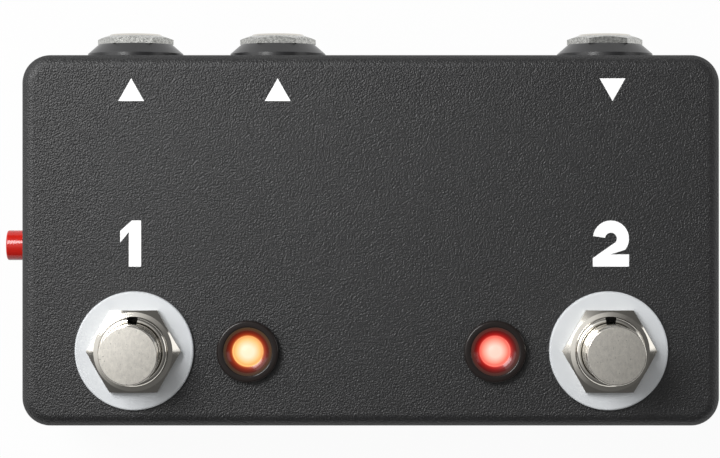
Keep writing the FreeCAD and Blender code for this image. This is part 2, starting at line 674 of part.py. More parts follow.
def make_frame(name, where, plate_under):
    """The folded steel frame: a top plate and two legs that hold the case."""
    body = new_body(f"{name}_frame", **where)
    sketch = new_sketch(body, "fold", "XZ_Plane")
    half, inner = "dim.frame_width / 2", "(dim.frame_width / 2 - dim.frame_leg)"
    foot = f"{plate_under} - dim.frame_leg_length"
    outline(sketch, [(f"-{half}", foot), (f"-{inner}", foot), (f"-{inner}", plate_under),
                     (inner, plate_under), (inner, foot), (half, foot), (half, "-dim.frame_drop"),
                     (f"-{half}", "-dim.frame_drop")])
    feature(body, "Pad", sketch, "dim.frame_width", middle=True)
    hole = new_sketch(body, "hole", lift="-dim.frame_drop")
    circle(hole, "dim.bush_radius")
    feature(body, "Pocket", hole, "dim.frame_sheet * 2")
    keep(body, f"{name}_frame")


def make_lugs(name, where):
    """Nine solder lugs in three rows, each with an eye."""
    lug = box(f"{name}_lug", ("-dim.lug_width / 2", "-dim.lug_sheet / 2", "-dim.lug_drop - dim.lug_length"),
              ("dim.lug_width / 2", "dim.lug_sheet / 2", "-dim.lug_drop"))
    eye = rod(f"{name}_eye", "dim.lug_eye_radius", "dim.lug_sheet * 2", y="-dim.lug_sheet",
              z="-dim.lug_drop - dim.lug_length + dim.lug_eye_rise", turn=ALONG_Y)
    blank = cut(f"{name}_lug_with_eye", lug, eye)
    steps = (-1, 0, 1)
    places = [(f"{where['x']} + {a} * dim.lug_step_x", f"{where['y']} + {b} * dim.lug_step_y", where["z"])
              for a in steps for b in steps]
    return group(f"{name}_lugs", blank, places)


def make_switch_case(name, where, plate_under, lugs):
    """The plastic case: open at the top, with the lugs through its floor and holes for the rocker's pivot."""
    body = new_body(f"{name}_hollow_case", **where)
    sketch = new_sketch(body, "case", lift=plate_under)
    wide, deep = "dim.frame_width - 2 * dim.frame_leg", "dim.frame_width"
    rectangle(sketch, wide, deep)
    feature(body, "Pad", sketch, "dim.switch_depth", back=True)
    hollow = new_sketch(body, "hollow", lift=plate_under)
    rectangle(hollow, f"{wide} - 2 * dim.switch_wall", f"{deep} - 2 * dim.switch_wall")
    feature(body, "Pocket", hollow, "dim.switch_depth - dim.switch_floor")
    pivot = new_sketch(body, "pivot", "XZ_Plane")
    circle(pivot, "dim.pivot_radius + dim.pivot_gap", y="-dim.pivot_drop")
    feature(body, "Pocket", pivot, "dim.frame_width + dim.past", middle=True)
    keep(cut(f"{name}_case", body, lugs), f"{name}_case")


def make_rocker(name, where):
    """The rocker that turns on its pin, and its three contact strips. Both lean to one side at rest."""
    lean = FreeCAD.Rotation(FreeCAD.Vector(0, 1, 0), value("dim.rocker_tilt"))
    pivot = dict(where, z=f"{PANEL} - dim.pivot_drop", turn=lean)
    body = new_body(f"{name}_rocker", **pivot)
    sketch = new_sketch(body, "bar", "XZ_Plane")
    rectangle(sketch, "dim.rocker_length", "dim.rocker")
    feature(body, "Pad", sketch, "dim.rocker_width", middle=True)
    pin = new_sketch(body, "pin", "XZ_Plane")
    circle(pin, "dim.pivot_radius")
    feature(body, "Pad", pin, "dim.frame_width - dim.switch_wall", middle=True)
    keep(body, f"{name}_rocker")

    strip = box(f"{name}_strip",
                ("-dim.rocker_length / 2", "-dim.strip_width / 2", "-dim.rocker / 2 - dim.strip"),
                ("dim.rocker_length / 2", "dim.strip_width / 2", "-dim.rocker / 2"))
    hollow = rod(f"{name}_strip_relief", "dim.pivot_radius", "dim.strip_width * 2", y="-dim.strip_width",
                 turn=ALONG_Y)
    blank = cut(f"{name}_strip_blank", strip, hollow)
    copies = []
    for row in (-1, 0, 1):
        copy = doc.addObject("App::Link", f"{name}_strip_{row + 2}")
        copy.LinkedObject = blank
        copies.append(place(copy, y=f"{row} * dim.lug_step_y"))
    strips = doc.addObject("Part::Compound", f"{name}_contacts")
    strips.Links = copies
    keep(place(strips, **pivot), f"{name}_contacts")
    doc.recompute()


def make_spring(name, radius, wire, turns, low, high):
    """A coil spring on the Z axis between two heights. Each half turn of its wire is a half ring, tilted
    so that it meets the next one smoothly on the opposite side."""
    seat = f"{wire} + dim.coil_gap"
    start, end = value(f"{low} + {seat}"), value(f"{high} - ({seat})")
    reach = value(radius)
    count = int(2 * value(turns))
    rise = (end - start) / count
    halves = []
    for index in range(count):
        side = 1 if index % 2 == 0 else -1
        begin = FreeCAD.Vector(side * reach, 0, start + index * rise)
        section = Part.Circle(begin, FreeCAD.Vector(0, 1, 0), value(wire)).toShape()
        axis = FreeCAD.Vector(side * rise / 2, 0, reach)
        centre = FreeCAD.Vector(0, 0, begin.z + rise / 2)
        halves.append(Part.Face(Part.Wire(section)).revolve(centre, axis, 180))
    made = doc.addObject("Part::Feature", name)
    made.Shape = halves[0].fuse(halves[1:])
    return made


def make_lamp(side, sign):
    """One lamp in its concave holder, with its two leads down to the circuit board."""
    where = {"x": f"{sign} * dim.lamp_x + dim.panel_shift", "y": "dim.lamp_y", "z": PANEL}
    flange_under = "(dim.lamp_rise - dim.lamp_length)"
    flange_top = f"({flange_under} + dim.lamp_flange_sheet)"
    bore, wide_bore = "dim.lamp_radius + dim.lamp_gap", "dim.lamp_flange + dim.lamp_gap"
    holder = turned(f"{side}_lamp_holder", [
        (bore, "dim.holder_rise - dim.bowl_depth"), (bore, flange_top), (wide_bore, flange_top),
        (wide_bore, "-dim.neck_length"), ("dim.neck_radius", "-dim.neck_length"),
        ("dim.neck_radius", "0"), ("dim.holder_radius", "0"), ("dim.holder_radius", "dim.holder_rise"),
        ("dim.bowl_radius", "dim.holder_rise"), ("dim.bowl_middle_radius", "dim.bowl_middle_rise"),
        ("dim.bowl_foot_radius", "dim.bowl_foot_rise")], **where)
    dress(holder, "Fillet", "dim.holder_lip / 2", is_rim("dim.holder_radius", "dim.holder_rise"))
    keep(holder, f"{side}_lamp_holder")

    lamp = turned(f"{side}_lamp", [
        ("0", flange_under), ("dim.lamp_flange", flange_under), ("dim.lamp_flange", flange_top),
        ("dim.lamp_radius", flange_top), ("dim.lamp_radius", "dim.lamp_rise"),
        ("0", "dim.lamp_rise")], **where)
    dress(lamp, "Fillet", "dim.lamp_radius - dim.lamp_flat", is_rim("dim.lamp_radius", "dim.lamp_rise"))
    keep(lamp, f"{side}_lamp")

    length = f"{PANEL} + {flange_under} - dim.board_height"
    lead = rod(f"{side}_lead", "dim.lead_radius", length)
    group(f"{side}_lamp_leads", lead,
          [(f"{where['x']} {a} dim.lead_step / 2", where["y"], "dim.board_height") for a in "-+"])


def make_lamp_rings():
    """The rings that keep both lamp holders in the panel."""
    ring = turned("lamp_ring", [
        ("dim.neck_radius", "-dim.top - dim.ring"), ("dim.ring_radius", "-dim.top - dim.ring"),
        ("dim.ring_radius", "-dim.top"), ("dim.neck_radius", "-dim.top")])
    group("lamp_holder_rings", ring, mirror_places("dim.lamp_x", "dim.lamp_y", PANEL))


def make_jack(name, x):
    """One jack socket: nose, housing, tip contact and terminals. Its own Z axis points out of the wall."""
    where = {"x": x, "y": wall_face("dim.case_width / 2", "dim.jack_height"), "z": "dim.jack_height",
             "turn": ALONG_Y}
    front_in = "(-dim.jack_front - dim.jack_wall)"
    flange_back = f"({front_in} - dim.jack_flange_sheet)"
    nose_side = "dim.jack_nose - dim.nose_chamfer"
    nose = turned(f"{name}_jack_nose", [
        ("dim.jack_bore", flange_back), ("dim.jack_flange", flange_back), ("dim.jack_flange", front_in),
        ("dim.jack_thread", front_in), ("dim.jack_thread", nose_side),
        ("dim.jack_thread - dim.nose_chamfer", "dim.jack_nose"),
        ("dim.jack_bore + dim.nose_chamfer", "dim.jack_nose"), ("dim.jack_bore", nose_side)], **where)
    keep(nose, f"{name}_jack_nose")

    board = "(dim.jack_height - dim.board_height)"
    back = "(-dim.jack_front - dim.jack_length)"
    half = "dim.jack_width / 2"
    inside = f"({half} - dim.jack_wall)"
    roof = "(-dim.jack_half_height + dim.jack_wall)"
    outer = box(f"{name}_jack_block", (f"-{half}", "-dim.jack_half_height", back),
                (half, board, "-dim.jack_front"))
    hollow = box(f"{name}_jack_hollow", (f"-{inside}", roof, f"{back} + dim.jack_wall"),
                 (inside, f"{board} + dim.past", front_in))
    channel = cut(f"{name}_jack_channel", outer, hollow)
    mouth = rod(f"{name}_jack_mouth", "dim.jack_thread", "dim.jack_wall * 3", z=f"{front_in} - dim.jack_wall")
    keep(place(cut(f"{name}_jack_housing", channel, mouth), **where), f"{name}_jack_housing")

    leaf = new_body(f"{name}_jack_tip_contact", **where)
    sketch = new_sketch(leaf, "leaf", "YZ_Plane")
    outline(sketch, [
        ("-dim.leaf_root_height", "-dim.leaf_root"), ("-dim.leaf_point_height - dim.leaf", "-dim.leaf_point"),
        ("-dim.leaf_end_height - dim.leaf", "-dim.leaf_end"), ("-dim.leaf_end_height", "-dim.leaf_end"),
        ("-dim.leaf_point_height", "-dim.leaf_point"),
        ("-dim.leaf_root_height + dim.leaf", "-dim.leaf_root")])
    feature(leaf, "Pad", sketch, "dim.leaf_width", middle=True)
    keep(leaf, f"{name}_jack_tip_contact")

    root = "(-dim.leaf_root - dim.tip_arm_set_back)"
    corner = (f"-{inside}", roof, root)
    tip_front = f"{root} + dim.terminal_width"
    leg = box(f"{name}_tip_leg", corner, (f"-{inside} + dim.terminal", board, tip_front))
    arm = box(f"{name}_tip_arm", corner, ("dim.leaf_width / 2", f"{roof} + dim.terminal", tip_front))
    tip = fuse(f"{name}_tip_terminal", [leg, arm])
    upper = "dim.jack_bore + dim.sleeve_inset"
    sleeve = box(f"{name}_sleeve_terminal",
                 ("-dim.terminal_width / 2", upper, f"{flange_back} - dim.terminal"),
                 ("dim.terminal_width / 2", board, flange_back))
    terminals = doc.addObject("Part::Compound", f"{name}_jack_terminals")
    terminals.Links = [tip, sleeve]
    keep(place(terminals, **where), f"{name}_jack_terminals")
    doc.recompute()


def make_jack_fasteners():
    """The tapered washers, cut to the wall's lean, and the nuts of all three jacks."""
    bore = "dim.jack_thread + dim.thread_hole_gap"
    blank = turned("cone_blank", [
        (bore, "-dim.past"), ("dim.cone_base", "-dim.past"), ("dim.cone_base", "dim.cone_edge"),
        ("dim.cone_top", "dim.cone"), (bore, "dim.cone")])
    wide = "2 * dim.cone_base"
    wall = box("cone_wall", (f"-{wide}", f"-{wide}", f"-{wide}"), (wide, wide, "0"))
    lean = FreeCAD.Rotation(FreeCAD.Vector(1, 0, 0), value("dim.draft"))
    tilted = place(doc.addObject("Part::Compound", "cone_wall_tilted"), turn=lean)
    tilted.Links = [wall]
    washer = place(cut("tapered_washer", blank, tilted), turn=ALONG_Y)
    out = wall_face("dim.case_width / 2", "dim.jack_height")
    places = [(x, out, "dim.jack_height") for _, x in JACKS]
    group("jack_washers", washer, places)
    thickness = "(dim.jack_nose - dim.jack_nut_set_back - dim.cone)"
    nut = make_nut("jack_nut", "dim.jack_nut_across", "dim.cone", thickness,
                   "dim.jack_thread + dim.thread_gap", "dim.jack_nut_face", "dim.jack_nut_chamfer",
                   turn=ALONG_Y)
    group("jack_nuts", nut, places)


def make_power_socket():
    """The power socket of the lamps: housing, centre pin with its leg, and the outer contact."""
    where = {"x": "dim.power_x", "y": wall_face("dim.case_width / 2", "dim.power_height"),
             "z": "dim.power_height", "turn": ALONG_Y}
    front = "(-dim.jack_front)"
    back = f"({front} - dim.power_length)"
    face = "(-dim.power_set_back)"
    floor = f"({face} - dim.power_bore_depth)"
    board = "(dim.power_height - dim.board_height)"
    half = "dim.power_width / 2"
    block = box("power_block", (f"-{half}", "-dim.power_half_height", back), (half, board, front))
    nose = rod("power_nose", "dim.power_nose", f"{face} - {front} + dim.past", z=f"{front} - dim.past")
    solid = fuse("power_solid", [block, nose])
    well = rod("power_well", "dim.power_bore", "dim.power_bore_depth + dim.past", z=floor)
    slot = box("power_slot", ("-dim.terminal_width / 2", "0", floor),
               ("dim.terminal_width / 2", f"{board} + dim.past", f"{front} - dim.past"))
    pin_hole = rod("power_pin_hole", "dim.power_pin_root", "dim.power_length", z=f"{back} - dim.past")
    hollows = fuse("power_hollows", [well, slot, pin_hole])
    keep(place(cut("power_socket_housing", solid, hollows), **where), "power_socket_housing")

    pin_end = f"({face} - dim.power_pin_set_back)"
    pin = turned("power_pin_turned", [
        ("0", back), ("dim.power_pin_root", back), ("dim.power_pin_root", floor), ("dim.power_pin", floor),
        ("dim.power_pin", pin_end), ("0", pin_end)])
    dress(pin, "Fillet", "dim.power_pin_tip", is_rim("dim.power_pin", pin_end))
    leg = box("power_pin_leg", ("-dim.power_pin", "-dim.power_pin", f"{back} - dim.terminal"),
              ("dim.power_pin", board, back))
    keep(place(fuse("power_socket_pin", [pin, leg]), **where), "power_socket_pin")

    low = "dim.power_bore - dim.power_leaf_reach"
    side = "(dim.terminal_width / 2 - dim.power_leaf_gap)"
    start = f"({floor} + dim.power_leaf_gap)"
    leg = box("power_contact_leg", (f"-{side}", low, start), (side, board, f"{start} + dim.terminal"))
    leaf = box("power_contact_leaf", (f"-{side}", low, start),
               (side, f"{low} + dim.power_leaf", f"{front} - dim.power_leaf_end"))
    keep(place(fuse("power_socket_contact", [leg, leaf]), **where), "power_socket_contact")


def make_button():
    """The red push button: cap, square stem, switch body and spring. Its Z axis points out of the wall."""
    where = {"x": f"-{wall_face('dim.case_length / 2', 'dim.button_height')}", "y": "dim.button_y",
             "z": "dim.button_height", "turn": ALONG_MINUS_X}
    inner_end = "(dim.button_rise - dim.button_length)"
    cap = turned("button_cap", [
        ("0", inner_end), ("dim.button_radius", inner_end),
        ("dim.button_radius", "dim.button_rise - dim.button_edge"),
        ("dim.button_radius - dim.button_edge", "dim.button_rise"), ("0", "dim.button_rise")], **where)
    socket = new_sketch(cap, "stem_socket", lift=inner_end)
    rectangle(socket, "dim.stem_width", "dim.stem_width")
    feature(cap, "Pocket", socket, "dim.stem_fit", back=True)
    keep(cap, "button_cap")

    collar_top = "(-dim.block_front - dim.block_wall - dim.collar_gap)"
    collar_under = f"({collar_top} - dim.stem_collar_sheet)"
    stem = new_body("button_stem", **where)
    sketch = new_sketch(stem, "stem", lift=collar_top)
    rectangle(sketch, "dim.stem_width", "dim.stem_width")
    feature(stem, "Pad", sketch, f"{inner_end} + dim.stem_fit - {collar_top}")
    collar = new_sketch(stem, "collar", lift=collar_top)
    rectangle(collar, "dim.stem_collar", "dim.stem_collar")
    feature(stem, "Pad", collar, "dim.stem_collar_sheet", back=True)
    tail = new_sketch(stem, "tail", lift=collar_under)
    circle(tail, "dim.stem_rod")
    feature(stem, "Pad", tail, "dim.stem_rod_length", back=True)
    keep(stem, "button_stem")

    up = "dim.block_half_height"
    down = "(dim.button_height - dim.board_height)"
    front = "(-dim.block_front)"
    back = f"({front} - dim.block_length)"
    half = "dim.block_width / 2"
    thin = "dim.block_wall"
    outer = box("block_outer", (f"-{down}", f"-{half}", back), (up, half, front))
    inner = box("block_inner", (f"-{down} + {thin}", f"-{half} + {thin}", f"{back} + {thin}"),
                (f"{up} - {thin}", f"{half} - {thin}", f"{front} - {thin}"))
    hollow = cut("block_hollow", outer, inner)
    edge = "(dim.stem_width / 2 + dim.stem_gap)"
    window = box("block_window", (f"-{edge}", f"-{edge}", f"{front} - {thin} - dim.past"),
                 (edge, edge, f"{front} + dim.past"))
    keep(place(cut("button_switch_body", hollow, window), **where), "button_switch_body")

    spring = make_spring("button_spring", "dim.button_coil_radius", "dim.button_coil_wire",
                         "dim.button_coil_turns", f"{back} + {thin}", collar_under)
    keep(place(spring, **where), "button_spring")


def make_board():
    """The circuit board: a wide part under the jacks and a tongue between the foot switches."""
    body = new_body("circuit_board", z="dim.board_height")
    sketch = new_sketch(body, "board")
    wide, narrow = "dim.board_half_length", "dim.tongue_half_width"
    right = [(narrow, "dim.tongue_front"), (narrow, "dim.board_step"), (wide, "dim.board_step"),
             (wide, "dim.board_back")]
    outline(sketch, right + [(f"-{x}", y) for x, y in reversed(right)])
    feature(body, "Pad", sketch, "dim.board", back=True)
    keep(body, "circuit_board")


def axial_part(name, radius, length):
    """A small component that lies along Y on the board, with a lead at each end bent down to it."""
    half = f"({length} / 2)"
    reach = f"({half} + dim.component_overhang)"
    core = rod(f"{name}_core", radius, length, y=f"-{half}", z=radius, turn=ALONG_Y)
    lead = rod(f"{name}_lead", "dim.component_lead", f"2 * {reach}", y=f"-{reach}", z=radius, turn=ALONG_Y)
    front_leg = rod(f"{name}_front_leg", "dim.component_lead", radius, y=f"-{reach}")
    back_leg = rod(f"{name}_back_leg", "dim.component_lead", radius, y=reach)
    return fuse(f"{name}_whole", [core, lead, front_leg, back_leg])


def make_components():
    """What is soldered to the board beside the sockets."""
    resistor = axial_part("resistor", "dim.resistor_radius", "dim.resistor_length")
    row = (-1.5, -0.5, 0.5, 1.5)
    places = [(f"{i} * dim.resistor_step", "dim.resistor_y", "dim.board_height") for i in row]
    group("resistors", resistor, places)
    diode = axial_part("diode", "dim.diode_radius", "dim.diode_length")
    keep(place(diode, y="dim.diode_y", z="dim.board_height"), "protection_diode")
    can = turned("supply_capacitor", [
        ("0", "0"), ("dim.capacitor_radius", "0"), ("dim.capacitor_radius", "dim.crimp_rise - dim.crimp"),
        ("dim.capacitor_radius - dim.crimp", "dim.crimp_rise"),
        ("dim.capacitor_radius", "dim.crimp_rise + dim.crimp"),
        ("dim.capacitor_radius", "dim.capacitor_height - dim.capacitor_edge"),
        ("dim.capacitor_radius - dim.capacitor_edge", "dim.capacitor_height"), ("0", "dim.capacitor_height")],
        x="dim.capacitor_x", y="dim.capacitor_y", z="dim.board_height")
    keep(can, "supply_capacitor")


def make_wires(side, sign):
    """Three wires from the inner row of lugs, down and across to the underside of the board."""
    lug_x = value("dim.switch_x - dim.lug_step_x")
    board_x = value("dim.wire_x")
    bend, radius = value("dim.wire_bend"), value("dim.wire_radius")
    top = value(f"{PANEL} - dim.lug_drop - dim.lug_length")
    low = value("dim.wire_depth")
    board = value("dim.board_height - dim.board")
    turn_in, turn_out = lug_x - bend, board_x + bend
    diagonal = bend * value("sin(45)")

    def at(x, z):
        return FreeCAD.Vector(sign * x + value("dim.panel_shift"), value("dim.switch_y"), z)

    path = Part.Wire([curve.toShape() for curve in (
        Part.LineSegment(at(lug_x, top), at(lug_x, low + bend)),
        Part.Arc(at(lug_x, low + bend), at(turn_in + diagonal, low + bend - diagonal), at(turn_in, low)),
        Part.LineSegment(at(turn_in, low), at(turn_out, low)),
        Part.Arc(at(turn_out, low), at(turn_out - diagonal, low + bend - diagonal), at(board_x, low + bend)),
        Part.LineSegment(at(board_x, low + bend), at(board_x, board)))])
    section = Part.Circle(at(lug_x, top), FreeCAD.Vector(0, 0, 1), radius).toShape()
    wire = path.makePipeShell([Part.Wire(section)], True, False)
    step = FreeCAD.Vector(0, value("dim.lug_step_y"), 0)
    made = doc.addObject("Part::Feature", f"{side}_footswitch_wires")
    made.Shape = Part.Compound([wire.translated(step * row) for row in (-1, 0, 1)])
    keep(made, f"{side}_footswitch_wires")


def check_and_export():
    """Stop at anything that failed, then write one file for each piece."""
    doc.recompute()
    for thing in doc.Objects:
        if {"Invalid", "Error"} & set(thing.State):
            raise RuntimeError(f"{thing.Name} failed: {thing.State}")
    os.makedirs("parts", exist_ok=True)
    for piece in pieces:
        shape = piece.Shape
        if shape.isNull() or not shape.isValid() or not shape.Solids:
            raise RuntimeError(f"{piece.Label} has no valid solid")
        shape.exportStep(f"parts/{piece.Label}.step")
    print(f"{len(pieces)} pieces, {sum(len(piece.Shape.Solids) for piece in pieces)} solids")


fill_sheet()
make_shell()
make_base_plate()
make_base_screws()
make_switch_fasteners()
for side, sign in SIDES:
    make_foot_switch(side, sign)
    make_lamp(side, sign)
    make_wires(side, sign)
make_lamp_rings()
for name, x in JACKS:
    make_jack(name, x)
make_jack_fasteners()
make_power_socket()
make_button()
make_board()
make_components()
check_and_export()
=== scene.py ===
import math

import bmesh
import bpy
from bpy.props import FloatProperty, FloatVectorProperty, IntProperty, PointerProperty
from mathutils import Matrix, Vector


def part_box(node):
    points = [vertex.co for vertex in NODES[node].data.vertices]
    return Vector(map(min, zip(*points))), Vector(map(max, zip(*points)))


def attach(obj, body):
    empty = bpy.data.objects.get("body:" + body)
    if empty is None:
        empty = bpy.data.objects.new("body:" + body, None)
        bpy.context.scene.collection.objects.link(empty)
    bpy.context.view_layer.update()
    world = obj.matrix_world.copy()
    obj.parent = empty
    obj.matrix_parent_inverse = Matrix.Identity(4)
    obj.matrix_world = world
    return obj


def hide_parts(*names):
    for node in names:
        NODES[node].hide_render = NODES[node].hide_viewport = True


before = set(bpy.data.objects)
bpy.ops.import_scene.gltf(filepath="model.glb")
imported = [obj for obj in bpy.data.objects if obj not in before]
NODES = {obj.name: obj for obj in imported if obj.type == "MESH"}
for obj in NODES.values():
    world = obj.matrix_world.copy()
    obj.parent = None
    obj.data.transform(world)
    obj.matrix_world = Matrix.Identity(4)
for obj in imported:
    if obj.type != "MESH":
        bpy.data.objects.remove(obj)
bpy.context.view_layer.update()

bl_info = {
    "name": "Footswitch Box",
    "version": (1, 0, 0),
    "blender": (4, 5, 0),
    "location": "View3D > Sidebar > Footswitch Box",
    "description": "Gives the footswitch box its finishes, its printed marks and a studio to stand in",
    "category": "Object",
}

# Everything is in metres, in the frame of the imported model: +X right, +Y towards the jacks, +Z up.

MM = 0.001
SIDES = ("left", "right")
JACKS = ("output_1", "output_2", "input")
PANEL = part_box("footswitch_washers")[0].z


def middle(node):
    """The middle of a CAD node's box."""
    low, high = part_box(node)
    return (low + high) / 2


# Sizes and colours


class StageSettings(bpy.types.PropertyGroup):
    camera_height: FloatProperty(
        name="Camera height", description="Camera above the top panel",
        default=400 * MM, unit="LENGTH")
    focal_length: FloatProperty(
        name="Focal length", description="Lens of the camera, in millimetres", default=117.0)
    camera_x: FloatProperty(
        name="Camera across", description="Camera right of the box's middle",
        default=-4.3 * MM, unit="LENGTH")
    camera_y: FloatProperty(
        name="Camera along", description="Camera behind the box's middle",
        default=9.9 * MM, unit="LENGTH")
    shift_x: FloatProperty(name="Shift across", description="Lens shift", default=0.01995)
    shift_y: FloatProperty(name="Shift along", description="Lens shift", default=-0.0643)
    floor_colour: FloatVectorProperty(
        name="Floor", description="Colour of the floor", subtype="COLOR", default=(0.8, 0.8, 0.8))
    paper_white: FloatProperty(
        name="Paper white", description="Share of plain white that the camera sees in the floor",
        default=0.95)
    bright_side: FloatVectorProperty(
        name="Bright side", description="Where the ceiling is brightest", subtype="DIRECTION",
        default=(-0.46, 0.27, 0.84))
    ceiling_light: FloatProperty(
        name="Ceiling light", description="Strength of the light from the bright side", default=1.05)
    wall_light: FloatProperty(
        name="Wall light", description="Strength of the light from all round", default=0.1)
    key_power: FloatProperty(
        name="Key light", description="Small soft lamp above the left", default=1.45, unit="POWER")
    soft_box_power: FloatProperty(
        name="Soft box", description="Wide lamp low on the left", default=1.3, unit="POWER")
    fill_power: FloatProperty(
        name="Fill light", description="Soft lamp low on the right", default=0.35, unit="POWER")


class CoatSettings(bpy.types.PropertyGroup):
    colour: FloatVectorProperty(
        name="Coat", description="Black powder coat", subtype="COLOR", default=(0.014, 0.014, 0.015))
    grain: FloatProperty(
        name="Grain", description="Width of a grain of the coat", default=0.24 * MM, unit="LENGTH")
    grain_depth: FloatProperty(
        name="Grain depth", description="Height of the grain", default=0.1 * MM, unit="LENGTH")


class PrintSettings(bpy.types.PropertyGroup):
    number_height: FloatProperty(
        name="Number height", description="Height of the printed numbers", default=7.9 * MM, unit="LENGTH")
    number_width: FloatProperty(
        name="Number width", description="Width of the printed two", default=6.2 * MM, unit="LENGTH")
    stroke: FloatProperty(
        name="Stroke", description="Width of the numbers' strokes", default=2.1 * MM, unit="LENGTH")
    number_x: FloatProperty(
        name="Numbers across", description="Middle of a number, from the box's middle",
        default=41.05 * MM, unit="LENGTH")
    number_y: FloatProperty(
        name="Numbers along", description="Middle of the numbers", default=-0.5 * MM, unit="LENGTH")
    triangle_width: FloatProperty(
        name="Triangle", description="Width of a printed triangle", default=4.43 * MM, unit="LENGTH")
    triangle_height: FloatProperty(
        name="Triangle height", description="Height of a printed triangle", default=3.88 * MM,
        unit="LENGTH")
    triangle_x: FloatVectorProperty(
        name="Triangles across", description="Middles of the three triangles",
        default=(-40.96 * MM, -15.92 * MM, 41.32 * MM), unit="LENGTH")
    triangle_y: FloatProperty(
        name="Triangles along", description="Middle of the triangles", default=25.8 * MM, unit="LENGTH")
    thickness: FloatProperty(
        name="Ink", description="Thickness of the ink", default=0.03 * MM, unit="LENGTH")
    colour: FloatVectorProperty(
        name="Ink colour", description="Colour of the print", subtype="COLOR", default=(0.98, 0.98, 0.98))


class MetalSettings(bpy.types.PropertyGroup):
    nickel: FloatVectorProperty(
        name="Nickel", description="Nickel plate", subtype="COLOR", default=(0.70, 0.67, 0.61))
    forged: FloatVectorProperty(
        name="Forged nickel", description="Dull nickel of the jack nuts", subtype="COLOR",
        default=(0.47, 0.47, 0.45))
    zinc: FloatVectorProperty(
        name="Zinc", description="Zinc plate", subtype="COLOR", default=(0.50, 0.51, 0.53))
    tin: FloatVectorProperty(
        name="Tin", description="Tinned brass", subtype="COLOR", default=(0.72, 0.70, 0.64))
    button_edge: FloatProperty(
        name="Button edge", description="Rounded edge of a foot button", default=0.2 * MM, unit="LENGTH")
    button_crown: FloatProperty(
        name="Button crown", description="How far a foot button's face bulges", default=0.08 * MM,
        unit="LENGTH")


class RedButtonSettings(bpy.types.PropertyGroup):
    colour: FloatVectorProperty(
        name="Red", description="Glossy red of the push button", subtype="COLOR",
        default=(0.56, 0.012, 0.006))
    bevel: FloatProperty(
        name="Bevel", description="Rounded edge of the push button", default=0.3 * MM, unit="LENGTH")


class LampSettings(bpy.types.PropertyGroup):
    amber_core: FloatVectorProperty(
        name="Amber core", description="Middle of the amber lamp", subtype="COLOR",
        default=(0.98, 0.89, 0.64))
    amber_half: FloatVectorProperty(
        name="Amber half", description="Amber lamp between middle and edge", subtype="COLOR",
        default=(0.96, 0.62, 0.24))
    amber_rim: FloatVectorProperty(
        name="Amber rim", description="Edge of the amber lamp", subtype="COLOR", default=(0.93, 0.42, 0.14))
    # Painted light: this colour is the amber lamp's light, painted onto its holder's bowl.
    amber_painted_glow: FloatVectorProperty(
        name="Amber glow", description="Glow round the amber lamp", subtype="COLOR",
        default=(0.44, 0.055, 0.003))
    red_core: FloatVectorProperty(
        name="Red core", description="Middle of the red lamp", subtype="COLOR", default=(0.96, 0.70, 0.58))
    red_half: FloatVectorProperty(
        name="Red half", description="Red lamp between middle and edge", subtype="COLOR",
        default=(0.95, 0.33, 0.24))
    red_rim: FloatVectorProperty(
        name="Red rim", description="Edge of the red lamp", subtype="COLOR", default=(0.90, 0.16, 0.12))
    # Painted light: this colour is the red lamp's light, painted onto its holder's bowl.
    red_painted_glow: FloatVectorProperty(
        name="Red glow", description="Glow round the red lamp", subtype="COLOR",
        default=(0.49, 0.006, 0.004))


class BoxSettings(bpy.types.PropertyGroup):
    stage: PointerProperty(type=StageSettings)
    coat: PointerProperty(type=CoatSettings)
    printing: PointerProperty(type=PrintSettings)
    metal: PointerProperty(type=MetalSettings)
    lamps: PointerProperty(type=LampSettings)
    red_button: PointerProperty(type=RedButtonSettings)
    round_steps: IntProperty(
        name="Round steps", description="Faces round a turned piece", default=128)


def settings():
    return bpy.context.scene.footswitch_box


# Shaders


class Value:
    """One output of a shader node. Arithmetic on it adds the Math nodes."""

    def __init__(self, finish, socket):
        self.finish = finish
        self.socket = socket

    def math(self, operation, first, second=0.0):
        return self.finish.node("Math", {"operation": operation}, {0: first, 1: second})

    def __add__(self, other):
        return self.math("ADD", self, other)

    def __radd__(self, other):
        return self.math("ADD", other, self)

    def __sub__(self, other):
        return self.math("SUBTRACT", self, other)

    def __rsub__(self, other):
        return self.math("SUBTRACT", other, self)

    def __mul__(self, other):
        return self.math("MULTIPLY", self, other)

    def __rmul__(self, other):
        return self.math("MULTIPLY", other, self)

    def __truediv__(self, other):
        return self.math("DIVIDE", self, other)

    def __pow__(self, other):
        return self.math("POWER", self, other)

    def __abs__(self):
        return self.math("ABSOLUTE", self)

    def __gt__(self, other):
        return self.math("GREATER_THAN", self, other)

    def __lt__(self, other):
        return self.math("LESS_THAN", self, other)

    def ramp(self, *stops):
        """Grey levels, each (position, level), that the value runs through."""
        return self.colours(*((at, (level, level, level)) for at, level in stops))

    def colours(self, *stops):
        """Colours, each (position, colour), that the value runs through."""
        return self.finish.node("ValToRGB", {"stops": stops}, {"Fac": self})


